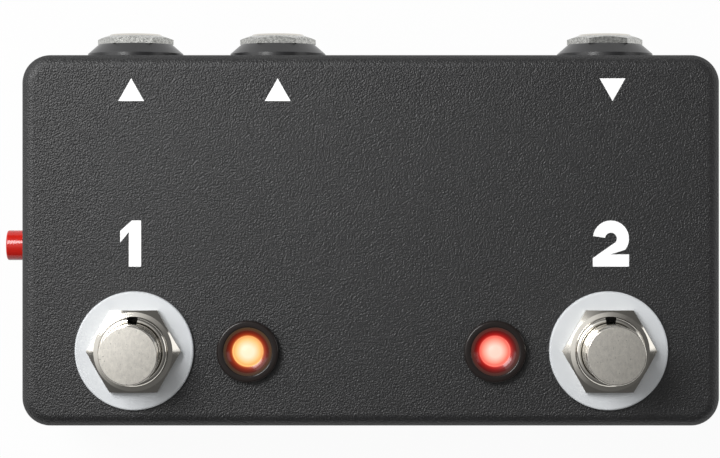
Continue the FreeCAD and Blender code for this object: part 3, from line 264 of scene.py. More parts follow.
class Finish:
    """The nodes of a material or a world. node() is the only way that it gets a node."""

    def __init__(self, name, group=None):
        self.owner = (bpy.data.materials if group is None else group).new(name)
        self.owner.use_nodes = True
        self.tree = self.owner.node_tree
        self.tree.nodes.clear()

    def node(self, kind, options=None, inputs=None, output=0):
        """A node: its options are set first, then the values or links of its sockets."""
        made = self.tree.nodes.new(f"ShaderNode{kind}")
        for name, option in (options or {}).items():
            if name == "stops":
                fill_ramp(made.color_ramp, option)
            else:
                setattr(made, name, option)
        for name, value in (inputs or {}).items():
            if isinstance(value, Value):
                self.tree.links.new(value.socket, made.inputs[name])
            elif made.inputs[name].type == "RGBA":
                made.inputs[name].default_value = (*value, 1.0)
            else:
                made.inputs[name].default_value = value
        return Value(self, made.outputs[output]) if made.outputs else None

    def place(self, offset=(0, 0, 0), scale=(1, 1, 1)):
        """The piece's own coordinates, in metres from offset, then stretched."""
        here = self.node("TexCoord", output=3)
        moved = self.node("VectorMath", {"operation": "SUBTRACT"}, {0: here, 1: offset})
        return self.node("Mapping", {}, {"Vector": moved, "Scale": scale})

    def axes(self, place):
        """The three coordinates of a place."""
        split = self.node("SeparateXYZ", {}, {"Vector": place})
        return split, *(Value(self, split.socket.node.outputs[i]) for i in (1, 2))

    def noise(self, width, detail=2.0, place=None, roughness=0.5):
        """Soft noise with features about that wide, from 0 to 1."""
        return self.node("TexNoise", {}, {"Vector": place or self.place(), "Scale": 1 / width,
                                          "Detail": detail, "Roughness": roughness})

    def cells(self, width):
        """Rounded cells about that wide, 0 in their middles."""
        return self.node("TexVoronoi", {"feature": "SMOOTH_F1"},
                         {"Vector": self.place(), "Scale": 1 / width, "Smoothness": 1.0})

    def mix(self, factor, first, second):
        """The first colour where factor is 0 and the second where it is 1."""
        return self.node("Mix", {"data_type": "RGBA"}, {0: factor, 6: first, 7: second}, output=2)

    def bump(self, height, depth):
        """The normal of a surface that is raised by height, from 0 to 1, times depth."""
        return self.node("Bump", {}, {"Height": height, "Distance": depth, "Strength": 1.0})

    def surface(self, **sockets):
        """The Principled shader. base_color=... sets its Base Color socket, and so on."""
        names = {"specular_ior_level": "Specular IOR Level"}
        inputs = {names.get(key, key.replace("_", " ").title()): value for key, value in sockets.items()}
        return self.shown(self.node("BsdfPrincipled", {}, inputs))

    def shown(self, shader, output="OutputMaterial"):
        """Make the shader the one that is seen, and give the finished material or world."""
        self.node(output, {}, {"Surface": shader})
        return self.owner


def fill_ramp(ramp, stops):
    """Put the stops into a new colour ramp, which has two."""
    for element, (position, colour) in zip(ramp.elements, (stops[0], stops[-1])):
        element.position = position
        element.color = (*colour, 1.0)
    for position, colour in stops[1:-1]:
        ramp.elements.new(position).color = (*colour, 1.0)


def shade(colour, factor):
    """The colour made darker or lighter."""
    return tuple(min(1.0, part * factor) for part in colour)


def powder_coat():
    """Black powder coat with a fine leathery grain, duller on the walls than on the panel."""
    coat = settings().coat
    edge = 3 * MM
    finish = Finish("powder_coat")
    worms = finish.noise(coat.grain * 1.5, detail=1.0)
    pebbles = finish.cells(coat.grain)
    height = worms * 0.7 - pebbles
    pits = height.ramp((0.1, 1.0), (0.55, 0.0))
    cloud = finish.noise(30 * MM, detail=3.0)
    _, _, z = finish.axes(finish.place(offset=(0, 0, PANEL - edge), scale=(1, 1, 1 / edge)))
    wall = z.ramp((0.45, 1.0), (0.85, 0.0))
    return finish.surface(
        base_color=finish.mix(pits, coat.colour, shade(coat.colour, 0.6)),
        roughness=0.38 + 0.06 * cloud + 0.06 * pits + 0.3 * wall,
        specular_ior_level=0.62,
        normal=finish.bump(height, coat.grain_depth))


def plate(name, colour, roughness=0.25, spread=0.12, mottle=0.6 * MM, painted_shade=None):
    """A plated metal: soft mottling in its gloss, a very fine grain, and painted shade where a mask is
    given.
    """
    finish = Finish(name)
    marks = finish.noise(mottle, detail=4.0, roughness=0.6)
    fine = finish.noise(0.08 * MM, detail=2.0)
    skin = finish.mix(marks, shade(colour, 0.92), shade(colour, 1.05))
    if painted_shade:
        # Painted shade: the metal is nearly black where the mask is.
        skin = finish.mix(painted_shade(finish), skin, shade(colour, 0.02))
    return finish.surface(
        base_color=skin,
        metallic=1.0,
        roughness=roughness + spread * (marks - 0.5) + 0.03 * fine,
        normal=finish.bump(fine, 0.001 * MM))


def forged_nut():
    """Dull nickel over a forged nut: pitted flats with dark and bright specks."""
    colour = settings().metal.forged
    finish = Finish("forged_nickel")
    pits = finish.noise(0.35 * MM, detail=4.0, roughness=0.7)
    fine = finish.noise(0.12 * MM, detail=2.0)
    return finish.surface(
        base_color=finish.mix(pits.ramp((0.38, 0.0), (0.6, 1.0)), shade(colour, 0.62), shade(colour, 1.25)),
        metallic=1.0,
        roughness=0.16 + 0.14 * fine,
        normal=finish.bump(pits, 0.016 * MM))


def keyway(side):
    """Where a bushing's keyway slot lies: painted shade, nearly black, as little light gets out of it."""
    node = f"{side}_footswitch_bushing"
    place = middle(node)
    wide, inner, rim = 0.92 * MM, 4.9 * MM, 0.08 * MM

    def painted_shade(finish):
        x, y, z = finish.axes(finish.place(offset=(place.x, place.y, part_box(node)[1].z)))
        return (abs(x) < wide) * (y > inner) * (z < -rim)
    return painted_shade


def foot_button_face():
    """The satin top of a foot button: mottled and finely speckled, with a few dark specks, and painted
    lighter than the nickel of its side.
    """
    colour = settings().metal.nickel
    finish = Finish("foot_button_face")
    patches = finish.noise(0.9 * MM, detail=4.0, roughness=0.6)
    strokes = finish.noise(0.3 * MM, detail=3.0, place=finish.place(scale=(1, 0.35, 1)))
    speckles = finish.noise(0.13 * MM, detail=3.0)
    worn_and_lit = (patches * 0.35 + strokes * 0.25 + speckles * 0.4).ramp((0.38, 0.0), (0.62, 1.0))
    specks = finish.noise(0.26 * MM, detail=1.0, place=finish.place(offset=(3 * MM, 0, 0)))
    return finish.surface(
        # The mottle is the face's own; its range up to 1.27 times the nickel colour is painted light, which
        # makes the top lighter than the side.
        base_color=finish.mix(specks.ramp((0.70, 0.0), (0.76, 1.0)),
                              finish.mix(worn_and_lit, shade(colour, 0.96), shade(colour, 1.27)),
                              shade(colour, 0.3)),
        metallic=1.0,
        roughness=0.28 + 0.12 * speckles,
        normal=finish.bump(speckles, 0.006 * MM))


def moulded(name, colour, roughness=0.45, grain=0.12 * MM, depth=0.004 * MM, **more):
    """A moulded plastic: a fine satin grain, and a faint drift in its colour and gloss."""
    finish = Finish(name)
    fine = finish.noise(grain, detail=2.0)
    drift = finish.noise(4 * MM, detail=3.0)
    return finish.surface(
        base_color=finish.mix(drift, shade(colour, 0.93), shade(colour, 1.05)),
        roughness=roughness - 0.05 + 0.1 * drift,
        normal=finish.bump(fine, depth),
        **more)


def ink():
    """White screen print, which takes up a little of the coat's grain, with a faint painted light that makes
    it brighter than white paint.
    """
    coat, printing = settings().coat, settings().printing
    finish = Finish("white_ink")
    grain = finish.noise(coat.grain * 1.5, detail=1.0)
    thin = finish.noise(0.12 * MM, detail=2.0).ramp((0.66, 0.0), (0.8, 1.0))
    return finish.surface(
        base_color=finish.mix(thin, printing.colour, shade(printing.colour, 0.94)),
        roughness=0.5 + 0.1 * grain,
        # A faint emission: painted light that lifts the print above what white ink reflects.
        emission_color=printing.colour,
        emission_strength=0.1,
        normal=finish.bump(grain, coat.grain_depth * 0.12))


def distance_from(finish, centre, radius):
    """How far a point is from the upright axis through centre, as a share of radius."""
    x, y, _ = finish.axes(finish.place(offset=centre))
    return (x * x + y * y) ** 0.5 / radius


def lit_lamp(side, core, half, rim):
    """Clear resin lit from inside: pale in its middle, coloured at its edge."""
    finish = Finish(f"{side}_lamp_glow")
    away = distance_from(finish, middle(f"{side}_lamp"), 2.5 * MM)
    swirl = finish.noise(1.2 * MM, detail=2.0)
    spread = away + 0.06 * (swirl - 0.5)
    return finish.surface(
        base_color=shade(rim, 0.1),
        roughness=0.4 + 0.1 * swirl,
        specular_ior_level=0.3,
        emission_color=spread.colours((0.4, core), (0.8, half), (0.96, rim), (1.0, shade(rim, 0.9))),
        emission_strength=1.0)


def lamp_holder(side, rim, painted_glow):
    """Glossy black plastic, with the light of its lamp painted into its bowl as an emission."""
    finish = Finish(f"{side}_holder_gloss_and_painted_glow")
    away = distance_from(finish, middle(f"{side}_lamp_holder"), 5.3 * MM)
    fine = finish.noise(0.1 * MM, detail=2.0)
    deep_painted_glow = (painted_glow[0], painted_glow[1] / 2, painted_glow[2] / 2)
    painted_fading = ((0.57, 0.6), (0.61, 0.38), (0.68, 0.16), (0.74, 0.05), (0.80, 0.0))
    return finish.surface(
        base_color=(0.014, 0.010, 0.009),
        roughness=0.14 + 0.08 * fine,
        specular_ior_level=0.35,
        # Painted light: the lamp's light on the bowl, in the rim colour at the bowl's foot and fading out
        # before its lip.
        emission_color=away.colours((0.485, rim), (0.525, painted_glow),
                                    *((at, shade(deep_painted_glow, share)) for at, share in painted_fading)),
        emission_strength=1.0,
        normal=finish.bump(fine, 0.002 * MM))


def circuit_lacquer():
    """Green lacquer over copper tracks, with a faint weave of the board below it."""
    finish = Finish("circuit_lacquer")
    turns = math.tau / (0.9 * MM)
    x, y, _ = finish.axes(finish.place(scale=(turns, turns, 1)))
    tracks = finish.node("TexBrick", {"offset": 0.5},
                         {"Vector": finish.place(), "Scale": 1 / (9 * MM), "Mortar Size": 0.04,
                          "Color1": (0, 0, 0), "Color2": (0, 0, 0), "Mortar": (1, 1, 1)}, output=1)
    weave = x.math("SINE", x) * y.math("SINE", y)
    return finish.surface(
        base_color=finish.mix(tracks, (0.012, 0.11, 0.045), (0.03, 0.22, 0.08)),
        roughness=0.28 + 0.04 * weave,
        normal=finish.bump(tracks + 0.1 * weave, 0.03 * MM))


def resistor_bands():
    """Tan lacquer with coloured bands along Y."""
    finish = Finish("resistor_bands")
    low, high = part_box("resistors")
    _, y, _ = finish.axes(finish.place(offset=(0, low.y, 0), scale=(1, 1 / (high.y - low.y), 1)))
    tan = (0.55, 0.40, 0.22)
    bands = y.colours(
        (0.0, (0.6, 0.6, 0.6)), (0.22, (0.6, 0.6, 0.6)), (0.221, tan), (0.33, tan),
        (0.331, (0.5, 0.02, 0.02)), (0.39, (0.5, 0.02, 0.02)), (0.391, tan), (0.46, tan),
        (0.461, (0.02, 0.02, 0.02)), (0.52, (0.02, 0.02, 0.02)), (0.521, tan), (0.6, tan),
        (0.601, (0.6, 0.2, 0.02)), (0.66, (0.6, 0.2, 0.02)), (0.661, tan), (0.77, tan),
        (0.78, (0.6, 0.6, 0.6)))
    fine = finish.noise(0.3 * MM, detail=3.0)
    return finish.surface(base_color=bands, roughness=0.3 + 0.15 * fine,
                          normal=finish.bump(fine, 0.01 * MM))


# Meshes


def turn(shape, profile, ring=False, gap=0.0):
    """Add a turned shape about the Z axis, from (radius, height) corners.

    The corners run from axis to axis, or all the way round the section of a ring. A ring may have a
    gap in it towards +Y, given as an angle.
    """
    start = (math.pi + gap) / 2
    corners = [shape.verts.new((radius * math.cos(start), radius * math.sin(start), height))
               for radius, height in profile]
    following = corners[1:] + corners[:1] if ring else corners[1:]
    edges = [shape.edges.new(pair) for pair in zip(corners, following)]
    bmesh.ops.spin(shape, geom=corners + edges, cent=(0, 0, 0), axis=(0, 0, 1), angle=math.tau - gap,
                   steps=settings().round_steps, use_merge=not gap, use_duplicate=False)
    if gap:
        bmesh.ops.edgeloop_fill(shape, edges=[edge for edge in shape.edges if edge.is_boundary])


def turned(profile, centre, ring=False):
    """A turned shape about the upright axis through centre."""
    shape = bmesh.new()
    turn(shape, profile, ring)
    bmesh.ops.remove_doubles(shape, verts=shape.verts, dist=0.1 * MM * MM)
    bmesh.ops.translate(shape, verts=shape.verts, vec=(centre.x, centre.y, 0))
    return shape


def arc(centre, radius, start, end, count=18):
    """Points on an arc between two angles, in degrees."""
    angles = [math.radians(start + (end - start) * i / count) for i in range(count + 1)]
    return [(centre[0] + radius * math.cos(a), centre[1] + radius * math.sin(a)) for a in angles]


def raised(shape, face, thickness):
    """Give a flat face a thickness, upwards."""
    made = bmesh.ops.extrude_face_region(shape, geom=[face])
    top = [item for item in made["geom"] if isinstance(item, bmesh.types.BMVert)]
    bmesh.ops.translate(shape, verts=top, vec=(0, 0, thickness))


def new_piece(name, shape, finishes, body="root", replaced=(), sharp=35):
    """Make the shape a finished piece that rides on a body."""
    bmesh.ops.recalc_face_normals(shape, faces=shape.faces)
    mesh = bpy.data.meshes.new(name)
    shape.to_mesh(mesh)
    shape.free()
    for finish in finishes:
        mesh.materials.append(finish)
    for polygon in mesh.polygons:
        polygon.use_smooth = True
    mesh.set_sharp_from_angle(angle=math.radians(sharp))
    piece = bpy.data.objects.new(name, mesh)
    bpy.context.scene.collection.objects.link(piece)
    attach(piece, body)
    if replaced:
        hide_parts(*replaced)
    return piece


def coat_nodes(finish, *nodes):
    """Give CAD nodes a finish."""
    for node in nodes:
        for slot in NODES[node].material_slots:
            slot.material = finish


# Pieces


def one_outline(width, height, stroke):
    """The corners of a bold one."""
    flag = stroke * 0.85
    return [(width / 2, -height / 2), (width / 2, height / 2), (width / 2 - stroke * 0.75, height / 2),
            (-width / 2, height / 2 - flag), (-width / 2, height / 2 - flag - stroke * 0.95),
            (width / 2 - stroke, height / 2 - stroke * 0.95), (width / 2 - stroke, -height / 2)]


def two_outline(width, height, stroke):
    """The corners of a bold two: a bowl, a slanting neck and a foot."""
    outer = width / 2
    bowl = (0.0, height / 2 - outer)
    low = -height / 2
    tip, neck = 172, -38
    return [*arc(bowl, outer, tip, neck), (-width / 2 + stroke * 1.45, low + stroke),
            (width / 2, low + stroke), (width / 2, low), (-width / 2, low),
            (-width / 2, low + stroke * 0.7), *arc(bowl, outer - stroke, neck, tip)]


class BOX_OT_stage(bpy.types.Operator):
    """Lay the floor, hang the lamps and set up the camera straight above the box"""
    bl_idname = "footswitch_box.stage"
    bl_label = "Stage"

    def execute(self, context):
        stage = settings().stage
        scene = context.scene
        scene.view_settings.view_transform = "Standard"
        self.set_camera(scene, stage)
        self.lay_floor(stage)
        self.light_room(scene, stage)
        return {"FINISHED"}

    def set_camera(self, scene, stage):
        data = bpy.data.cameras.new("camera")
        data.lens = stage.focal_length
        data.sensor_width = 36
        data.shift_x = stage.shift_x
        data.shift_y = stage.shift_y
        data.clip_start = 10 * MM
        camera = bpy.data.objects.new("camera", data)
        camera.location = (stage.camera_x, stage.camera_y, PANEL + stage.camera_height)
        scene.collection.objects.link(camera)
        scene.camera = camera

    def lay_floor(self, stage):
        reach, gap = 40, 0.02 * MM
        shape = bmesh.new()
        bmesh.ops.create_grid(shape, x_segments=1, y_segments=1, size=reach,
                              matrix=Matrix.Translation((0, 0, -gap)))
        mesh = bpy.data.meshes.new("floor")
        shape.to_mesh(mesh)
        shape.free()
        mesh.materials.append(self.paper(stage))
        floor = bpy.data.objects.new("floor", mesh)
        bpy.context.scene.collection.objects.link(floor)

    def paper(self, stage):
        """Matt paper that the camera and reflections see nearly white, and that keeps a soft shadow.

        It is clear from below, so that the base plate can be looked at.
        """
        finish = Finish("paper")
        seen = self.sees_backdrop(finish)
        matt = finish.node("BsdfDiffuse", {}, {"Color": stage.floor_colour})
        white = finish.node("Emission", {}, {"Color": (1, 1, 1), "Strength": 1.0})
        above = finish.node("MixShader", {}, {0: seen * stage.paper_white, 1: matt, 2: white})
        below = finish.node("NewGeometry", output="Backfacing")
        clear = finish.node("BsdfTransparent")
        return finish.shown(finish.node("MixShader", {}, {0: below, 1: above, 2: clear}))

    def sees_backdrop(self, finish, mirrored=1.0):
        """1 for rays from the camera, and the mirrored share for those off a gloss or through glass."""
        camera = finish.node("LightPath", output="Is Camera Ray")
        rays = camera.socket.node.outputs
        glossy, through = (Value(finish, rays[name]) for name in ("Is Glossy Ray", "Is Transmission Ray"))
        return camera.math("MAXIMUM", camera, glossy.math("MAXIMUM", glossy, through) * mirrored)

    def light_room(self, scene, stage):
        """A ceiling that is bright towards one side, two lamps on the left and one on the right.

        The room is white where the camera looks past the floor, and so are mirrored views of its horizon.
        """
        room = Finish("room", bpy.data.worlds)
        towards = room.node("VectorMath", {"operation": "DOT_PRODUCT"},
                            {0: room.node("TexCoord"), 1: stage.bright_side}, output=1)
        light = towards.ramp((0.2, stage.wall_light), (0.7, stage.wall_light * 1.6),
                             (0.82, stage.ceiling_light * 0.36), (0.95, stage.ceiling_light))
        horizon = 0.1
        _, _, up = room.axes(room.node("TexCoord"))
        seen = self.sees_backdrop(room, mirrored=up < horizon)
        colour = room.mix(seen, light, (stage.paper_white,) * 3)
        scene.world = room.shown(room.node("Background", {}, {"Color": colour}), "OutputWorld")
        self.hang_lamp("key_light", (-0.21, 0.175, 0.42), (0.22, 0.16), stage.key_power)
        self.hang_lamp("soft_box", (-0.52, 0.27, 0.32), (0.75, 0.3), stage.soft_box_power)
        self.hang_lamp("fill_light", (0.50, 0.09, 0.30), (0.28, 0.3), stage.fill_power)

    def hang_lamp(self, name, place, size, power):
        """A flat lamp, so wide and so high, that faces the middle of the box."""
        data = bpy.data.lights.new(name, "AREA")
        data.shape = "RECTANGLE"
        data.size, data.size_y = size
        data.energy = power
        lamp = bpy.data.objects.new(name, data)
        lamp.location = place
        lamp.rotation_euler = (Vector((0, 0, PANEL)) - lamp.location).to_track_quat("-Z", "Y").to_euler()
        bpy.context.scene.collection.objects.link(lamp)


class BOX_OT_case(bpy.types.Operator):
    """Coat the cast box and its base plate, and plate the base screws"""
    bl_idname = "footswitch_box.case"
    bl_label = "Case"

    def execute(self, context):
        coat_nodes(powder_coat(), "enclosure_shell", "base_plate")
        coat_nodes(plate("screw_zinc", settings().metal.zinc, roughness=0.35), "base_screws")
        return {"FINISHED"}


class BOX_OT_marks(bpy.types.Operator):
    """Print the two numbers and the three triangles on the top panel"""
    bl_idname = "footswitch_box.marks"
    bl_label = "Printed marks"

    def execute(self, context):
        white = ink()
        printing = settings().printing
        height = printing.number_height
        outlines = {"left": one_outline(printing.stroke * 1.7, height, printing.stroke),
                    "right": two_outline(printing.number_width, height, printing.stroke)}
        for (side, outline), lean in zip(outlines.items(), (-1, 1)):
            self.print_shape(f"{side}_number", outline, (lean * printing.number_x, printing.number_y), white)
        half, tall = printing.triangle_width / 2, printing.triangle_height / 2
        for jack, x in zip(JACKS, printing.triangle_x):
            lean = -1 if jack == "input" else 1
            outline = [(-half, -tall * lean), (half, -tall * lean), (0, tall * lean)]
            self.print_shape(f"{jack}_triangle", outline, (x, printing.triangle_y), white)
        return {"FINISHED"}

    def print_shape(self, name, outline, place, white):
        shape = bmesh.new()
        corners = [shape.verts.new((x + place[0], y + place[1], PANEL)) for x, y in outline]
        raised(shape, shape.faces.new(corners), settings().printing.thickness)
        new_piece(name, shape, [white], sharp=20)


class BOX_OT_foot_switches(bpy.types.Operator):
    """Turn the foot buttons, and finish the bushings, nuts and washers"""
    bl_idname = "footswitch_box.foot_switches"
    bl_label = "Foot switches"

    def execute(self, context):
        metal = settings().metal
        polished = plate("polished_nickel", metal.nickel, roughness=0.1, spread=0.05)
        face = foot_button_face()
        for side in SIDES:
            self.turn_button(side, face, polished)
            self.turn_bushing(side, plate(f"{side}_bushing_nickel", metal.nickel, roughness=0.09,
                                          spread=0.05, painted_shade=keyway(side)))
        bright = plate("nut_nickel", metal.nickel, roughness=0.1, spread=0.06, mottle=1.5 * MM)
        self.cut_nuts(bright)
        coat_nodes(bright, "footswitch_inner_nuts")
        coat_nodes(moulded("white_nylon", (0.685, 0.707, 0.727), roughness=0.42), "footswitch_washers")
        return {"FINISHED"}

    def cut_nuts(self, finish):
        """The hexagon nuts on the bushings, cut down by two shallow cones."""
        low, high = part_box("footswitch_nuts")
        across, bore, face = high.y - low.y, 5.98 * MM, 6.74 * MM
        dip, facets = 0.17 * MM, 48
        start = Matrix.Translation((0, 0, low.z)) @ Matrix.Rotation(math.pi / 6, 4, "Z")
        shape = bmesh.new()
        bmesh.ops.create_circle(shape, cap_ends=True, segments=6, radius=across / math.sqrt(3), matrix=start)
        hexagon, = shape.faces
        raised(shape, hexagon, high.z - low.z)
        bmesh.ops.recalc_face_normals(shape, faces=shape.faces)
        for radius, height, tilt in ((bore, high.z, 12), (face, high.z - dip, 30.8)):
            lean = math.radians(tilt)
            for i in range(facets):
                turn_by = math.tau * i / facets
                outward = Vector((math.cos(turn_by), math.sin(turn_by), 0))
                self.cut_away(shape, outward * radius + Vector((0, 0, height)),
                              outward * math.sin(lean) + Vector((0, 0, math.cos(lean))))
        self.bore_through(shape, across / 2 - bore)
        nut = [*shape.verts, *shape.edges, *shape.faces]
        copied = bmesh.ops.duplicate(shape, geom=nut)
        for side, part in zip(SIDES, (nut, copied["geom"])):
            place = middle(f"{side}_footswitch_bushing")
            corners = [item for item in part if isinstance(item, bmesh.types.BMVert)]
            bmesh.ops.translate(shape, verts=corners, vec=(place.x, place.y, 0))
        new_piece("switch_nuts", shape, [finish], replaced=["footswitch_nuts"], sharp=15)

    def cut_away(self, shape, point, outward):
        """Cut off what lies outside a plane, and close the cut."""
        bmesh.ops.bisect_plane(shape, geom=[*shape.verts, *shape.edges, *shape.faces], dist=1e-4 * MM,
                               plane_co=point, plane_no=outward, clear_outer=True)
        open_edges = [edge for edge in shape.edges if edge.is_boundary]
        if open_edges:
            bmesh.ops.edgeloop_fill(shape, edges=open_edges)

    def bore_through(self, shape, wall):
        """Join the round opening in the top face to one that leaves that much wall at the bottom."""
        faces = sorted(shape.faces, key=lambda face: face.calc_center_median().z)
        bottom, top = faces[0], faces[-1]
        bmesh.ops.inset_region(shape, faces=[bottom], thickness=wall)
        bmesh.ops.delete(shape, geom=[bottom, top], context="FACES")
        bmesh.ops.bridge_loops(shape, edges=[edge for edge in shape.edges if edge.is_boundary])

    def turn_bushing(self, side, finish):
        """The threaded bushing: a flanged foot, and a keyed end with rounded lips."""
        bore, radius, flange = 5.03, 5.95, 7.15
        keyway_angle = math.radians(18)
        foot = [(bore, -6.8), (radius, -6.8), (radius, -5.8), (flange, -5.8), (flange, -5.2), (radius, -5.2),
                (radius, -2.9), (bore, -2.9)]
        end = [(bore, -2.9), (radius, -2.9), *arc((radius - 0.7, 3.4), 0.7, 0, 90, 8),
               *arc((bore + 0.15, 3.95), 0.15, 90, 180, 4)]
        shape = bmesh.new()
        for section, gap in ((foot, 0.0), (end, keyway_angle)):
            turn(shape, [(r * MM, PANEL + height * MM) for r, height in section], ring=True, gap=gap)
        node = f"{side}_footswitch_bushing"
        bmesh.ops.translate(shape, verts=shape.verts, vec=(middle(node).x, middle(node).y, 0))
        new_piece(f"{side}_bushing", shape, [finish], replaced=[node])

    def turn_button(self, side, face, polished):
        """The button: a crowned satin face, a polished edge and side, a collar and a rod."""
        node = f"{side}_footswitch_plunger"
        low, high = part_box(node)
        collar_radius = (high.x - low.x) / 2
        radius, rod_radius = 4.95 * MM, 1.5 * MM
        collar_top, collar = PANEL - 6.9 * MM, 1.1 * MM
        edge, crown = settings().metal.button_edge, settings().metal.button_crown
        face_radius = radius - edge
        face_edge = high.z - crown
        shares = (1, 0.85, 0.7, 0.5, 0.3, 0.15, 0)
        bulge = [(face_radius * share, high.z - crown * share ** 2) for share in shares]
        shape = turned([
            (0, low.z), (rod_radius, low.z), (rod_radius, collar_top - collar),
            (collar_radius, collar_top - collar), (collar_radius, collar_top), (radius, collar_top),
            *arc((face_radius, face_edge - edge), edge, 0, 86, 6), *bulge], middle(node))
        for polygon in shape.faces:
            polygon.material_index = 0 if polygon.calc_center_median().z > face_edge else 1
        new_piece(f"{side}_foot_button", shape, [face, polished], body=f"{side}_plunger",
                  replaced=[node], sharp=30)


class BOX_OT_lamps(bpy.types.Operator):
    """Light the two lamps, and turn their holders with the lamps' light painted into their bowls"""
    bl_idname = "footswitch_box.lamps"
    bl_label = "Lamps"

    def execute(self, context):
        lamps = settings().lamps
        colours = {"left": (lamps.amber_core, lamps.amber_half, lamps.amber_rim, lamps.amber_painted_glow),
                   "right": (lamps.red_core, lamps.red_half, lamps.red_rim, lamps.red_painted_glow)}
        for side, (core, half, rim, painted_glow) in colours.items():
            coat_nodes(lit_lamp(side, core, half, rim), f"{side}_lamp")
            self.turn_holder(side, lamp_holder(side, rim, painted_glow))
        return {"FINISHED"}

    def turn_holder(self, side, finish):
        """The holder: a bowl round the lamp, its rounded lips, and a sleeve through the panel."""
        section = [(2.6, -6.4), (2.6, 0.3), (3.05, 0.45), (3.5, 0.72), (3.85, 1.05),
                   *arc((4.35, 1.3), 0.3, 145, 90, 6), *arc((4.95, 1.25), 0.35, 90, 0, 6), (5.3, 0),
                   (3.95, 0), (3.95, -8.0), (3.0, -8.0), (3.0, -6.4)]
        node = f"{side}_lamp_holder"
        shape = turned([(radius * MM, PANEL + height * MM) for radius, height in section], middle(node),
                       ring=True)
        new_piece(f"{side}_holder", shape, [finish], replaced=[node])


class BOX_OT_jacks(bpy.types.Operator):
    """Finish the jack sockets, their nuts and washers, and the power socket"""
    bl_idname = "footswitch_box.jacks"
    bl_label = "Jacks and power socket"

    def execute(self, context):
        metal = settings().metal
        coat_nodes(forged_nut(), "jack_nuts")
        coat_nodes(plate("jack_nickel", metal.nickel, roughness=0.14, mottle=1.0 * MM),
                   *(f"{jack}_jack_nose" for jack in JACKS))
        coat_nodes(moulded("washer_black", (0.018, 0.018, 0.019), roughness=0.3), "jack_washers")
        coat_nodes(moulded("socket_black", (0.018, 0.018, 0.019), roughness=0.5),
                   "power_socket_housing", *(f"{jack}_jack_housing" for jack in JACKS))
        tinned = plate("tinned_brass", metal.tin, roughness=0.3)
        coat_nodes(tinned, "power_socket_pin", "power_socket_contact",
                   *(f"{jack}_jack_{part}" for jack in JACKS for part in ("tip_contact", "terminals")))
        return {"FINISHED"}


class BOX_OT_button(bpy.types.Operator):
    """Turn the red push button, and finish its switch"""
    bl_idname = "footswitch_box.button"
    bl_label = "Red button"

    def execute(self, context):
        self.turn_cap(moulded("glossy_red", settings().red_button.colour, roughness=0.12,
                              depth=0.001 * MM, specular_ior_level=0.45))
        coat_nodes(moulded("button_black", (0.02, 0.02, 0.021)), "button_stem", "button_switch_body")
        coat_nodes(plate("button_spring_steel", settings().metal.zinc), "button_spring")
        return {"FINISHED"}

    def turn_cap(self, finish):
        """The cap, with a pocket for its stem, turned to point out of the left wall."""
        low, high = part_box("button_cap")
        radius, length, bevel = (high.z - low.z) / 2, high.x - low.x, settings().red_button.bevel
        pocket, depth = 1.7 * MM, 3 * MM
        shape = turned([
            (0, depth), (pocket, depth), (pocket, 0), (radius, 0),
            *arc((radius - bevel, length - bevel), bevel, 0, 90, 6), (0, length)], Vector())
        bmesh.ops.rotate(shape, verts=shape.verts, matrix=Matrix.Rotation(-math.pi / 2, 3, "Y"))
        bmesh.ops.translate(shape, verts=shape.verts,
                            vec=(high.x, middle("button_cap").y, middle("button_cap").z))
        new_piece("red_cap", shape, [finish], body="button", replaced=["button_cap"],
                  sharp=30)


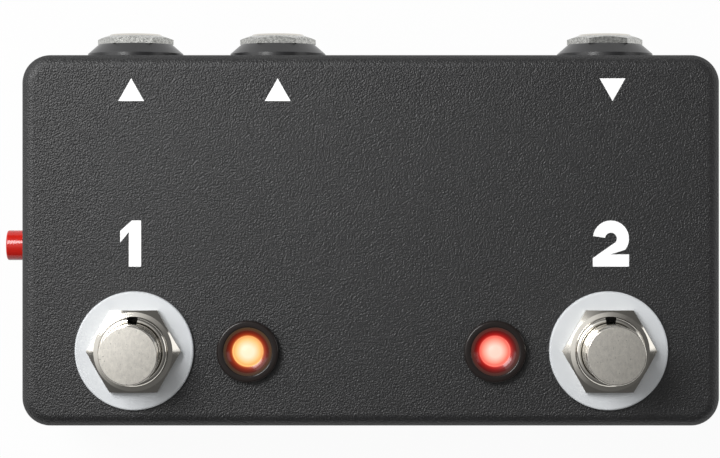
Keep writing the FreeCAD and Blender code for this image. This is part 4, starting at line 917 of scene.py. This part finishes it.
class BOX_OT_inside(bpy.types.Operator):
    """Finish what the box hides: the switch cases, the circuit board and the wires"""
    bl_idname = "footswitch_box.inside"
    bl_label = "Inside"

    def execute(self, context):
        metal = settings().metal
        groups = [
            (plate("zinc_plate", metal.zinc, roughness=0.35), ("frame",)),
            (plate("spring_steel", metal.zinc, roughness=0.22), ("spring",)),
            (plate("tinned_lugs", metal.tin, roughness=0.3), ("lugs", "contacts")),
            (moulded("blue_case", (0.02, 0.10, 0.34)), ("case",)),
            (moulded("white_guide", (0.78, 0.78, 0.75)), ("spring_guide", "rocker")),
            (moulded("red_insulation", (0.45, 0.03, 0.025), roughness=0.4), ("wires",)),
        ]
        for finish, parts in groups:
            coat_nodes(finish, *(f"{side}_footswitch_{part}" for side in SIDES for part in parts))
        coat_nodes(groups[0][0], "footswitch_lock_washers")
        coat_nodes(groups[2][0], "left_lamp_leads", "right_lamp_leads")
        coat_nodes(moulded("ring_black", (0.02, 0.02, 0.021)), "lamp_holder_rings")
        coat_nodes(circuit_lacquer(), "circuit_board")
        coat_nodes(resistor_bands(), "resistors")
        coat_nodes(moulded("component_black", (0.02, 0.02, 0.022), roughness=0.3),
                   "protection_diode", "supply_capacitor")
        return {"FINISHED"}


class BOX_PT_panel(bpy.types.Panel):
    """The steps that dress the box, in order"""
    bl_idname = "BOX_PT_panel"
    bl_label = "Footswitch Box"
    bl_space_type = "VIEW_3D"
    bl_region_type = "UI"
    bl_category = "Footswitch Box"

    def draw(self, context):
        for operator in OPERATORS:
            self.layout.operator(operator.bl_idname)
        for group in ("stage", "coat", "printing", "metal", "lamps", "red_button"):
            box = self.layout.box()
            values = getattr(settings(), group)
            for name in values.bl_rna.properties.keys():
                if name not in ("rna_type", "name"):
                    box.prop(values, name)


GROUPS = (StageSettings, CoatSettings, PrintSettings, MetalSettings, LampSettings, RedButtonSettings,
          BoxSettings)
OPERATORS = (BOX_OT_stage, BOX_OT_case, BOX_OT_marks, BOX_OT_foot_switches, BOX_OT_lamps, BOX_OT_jacks,
             BOX_OT_button, BOX_OT_inside)


def register():
    for item in (*GROUPS, *OPERATORS, BOX_PT_panel):
        bpy.utils.register_class(item)
    bpy.types.Scene.footswitch_box = PointerProperty(type=BoxSettings)


def unregister():
    del bpy.types.Scene.footswitch_box
    for item in reversed((*GROUPS, *OPERATORS, BOX_PT_panel)):
        bpy.utils.unregister_class(item)


def main():
    register()
    bpy.ops.footswitch_box.stage()
    bpy.ops.footswitch_box.case()
    bpy.ops.footswitch_box.marks()
    bpy.ops.footswitch_box.foot_switches()
    bpy.ops.footswitch_box.lamps()
    bpy.ops.footswitch_box.jacks()
    bpy.ops.footswitch_box.button()
    bpy.ops.footswitch_box.inside()


if __name__ == "__main__":
    main()
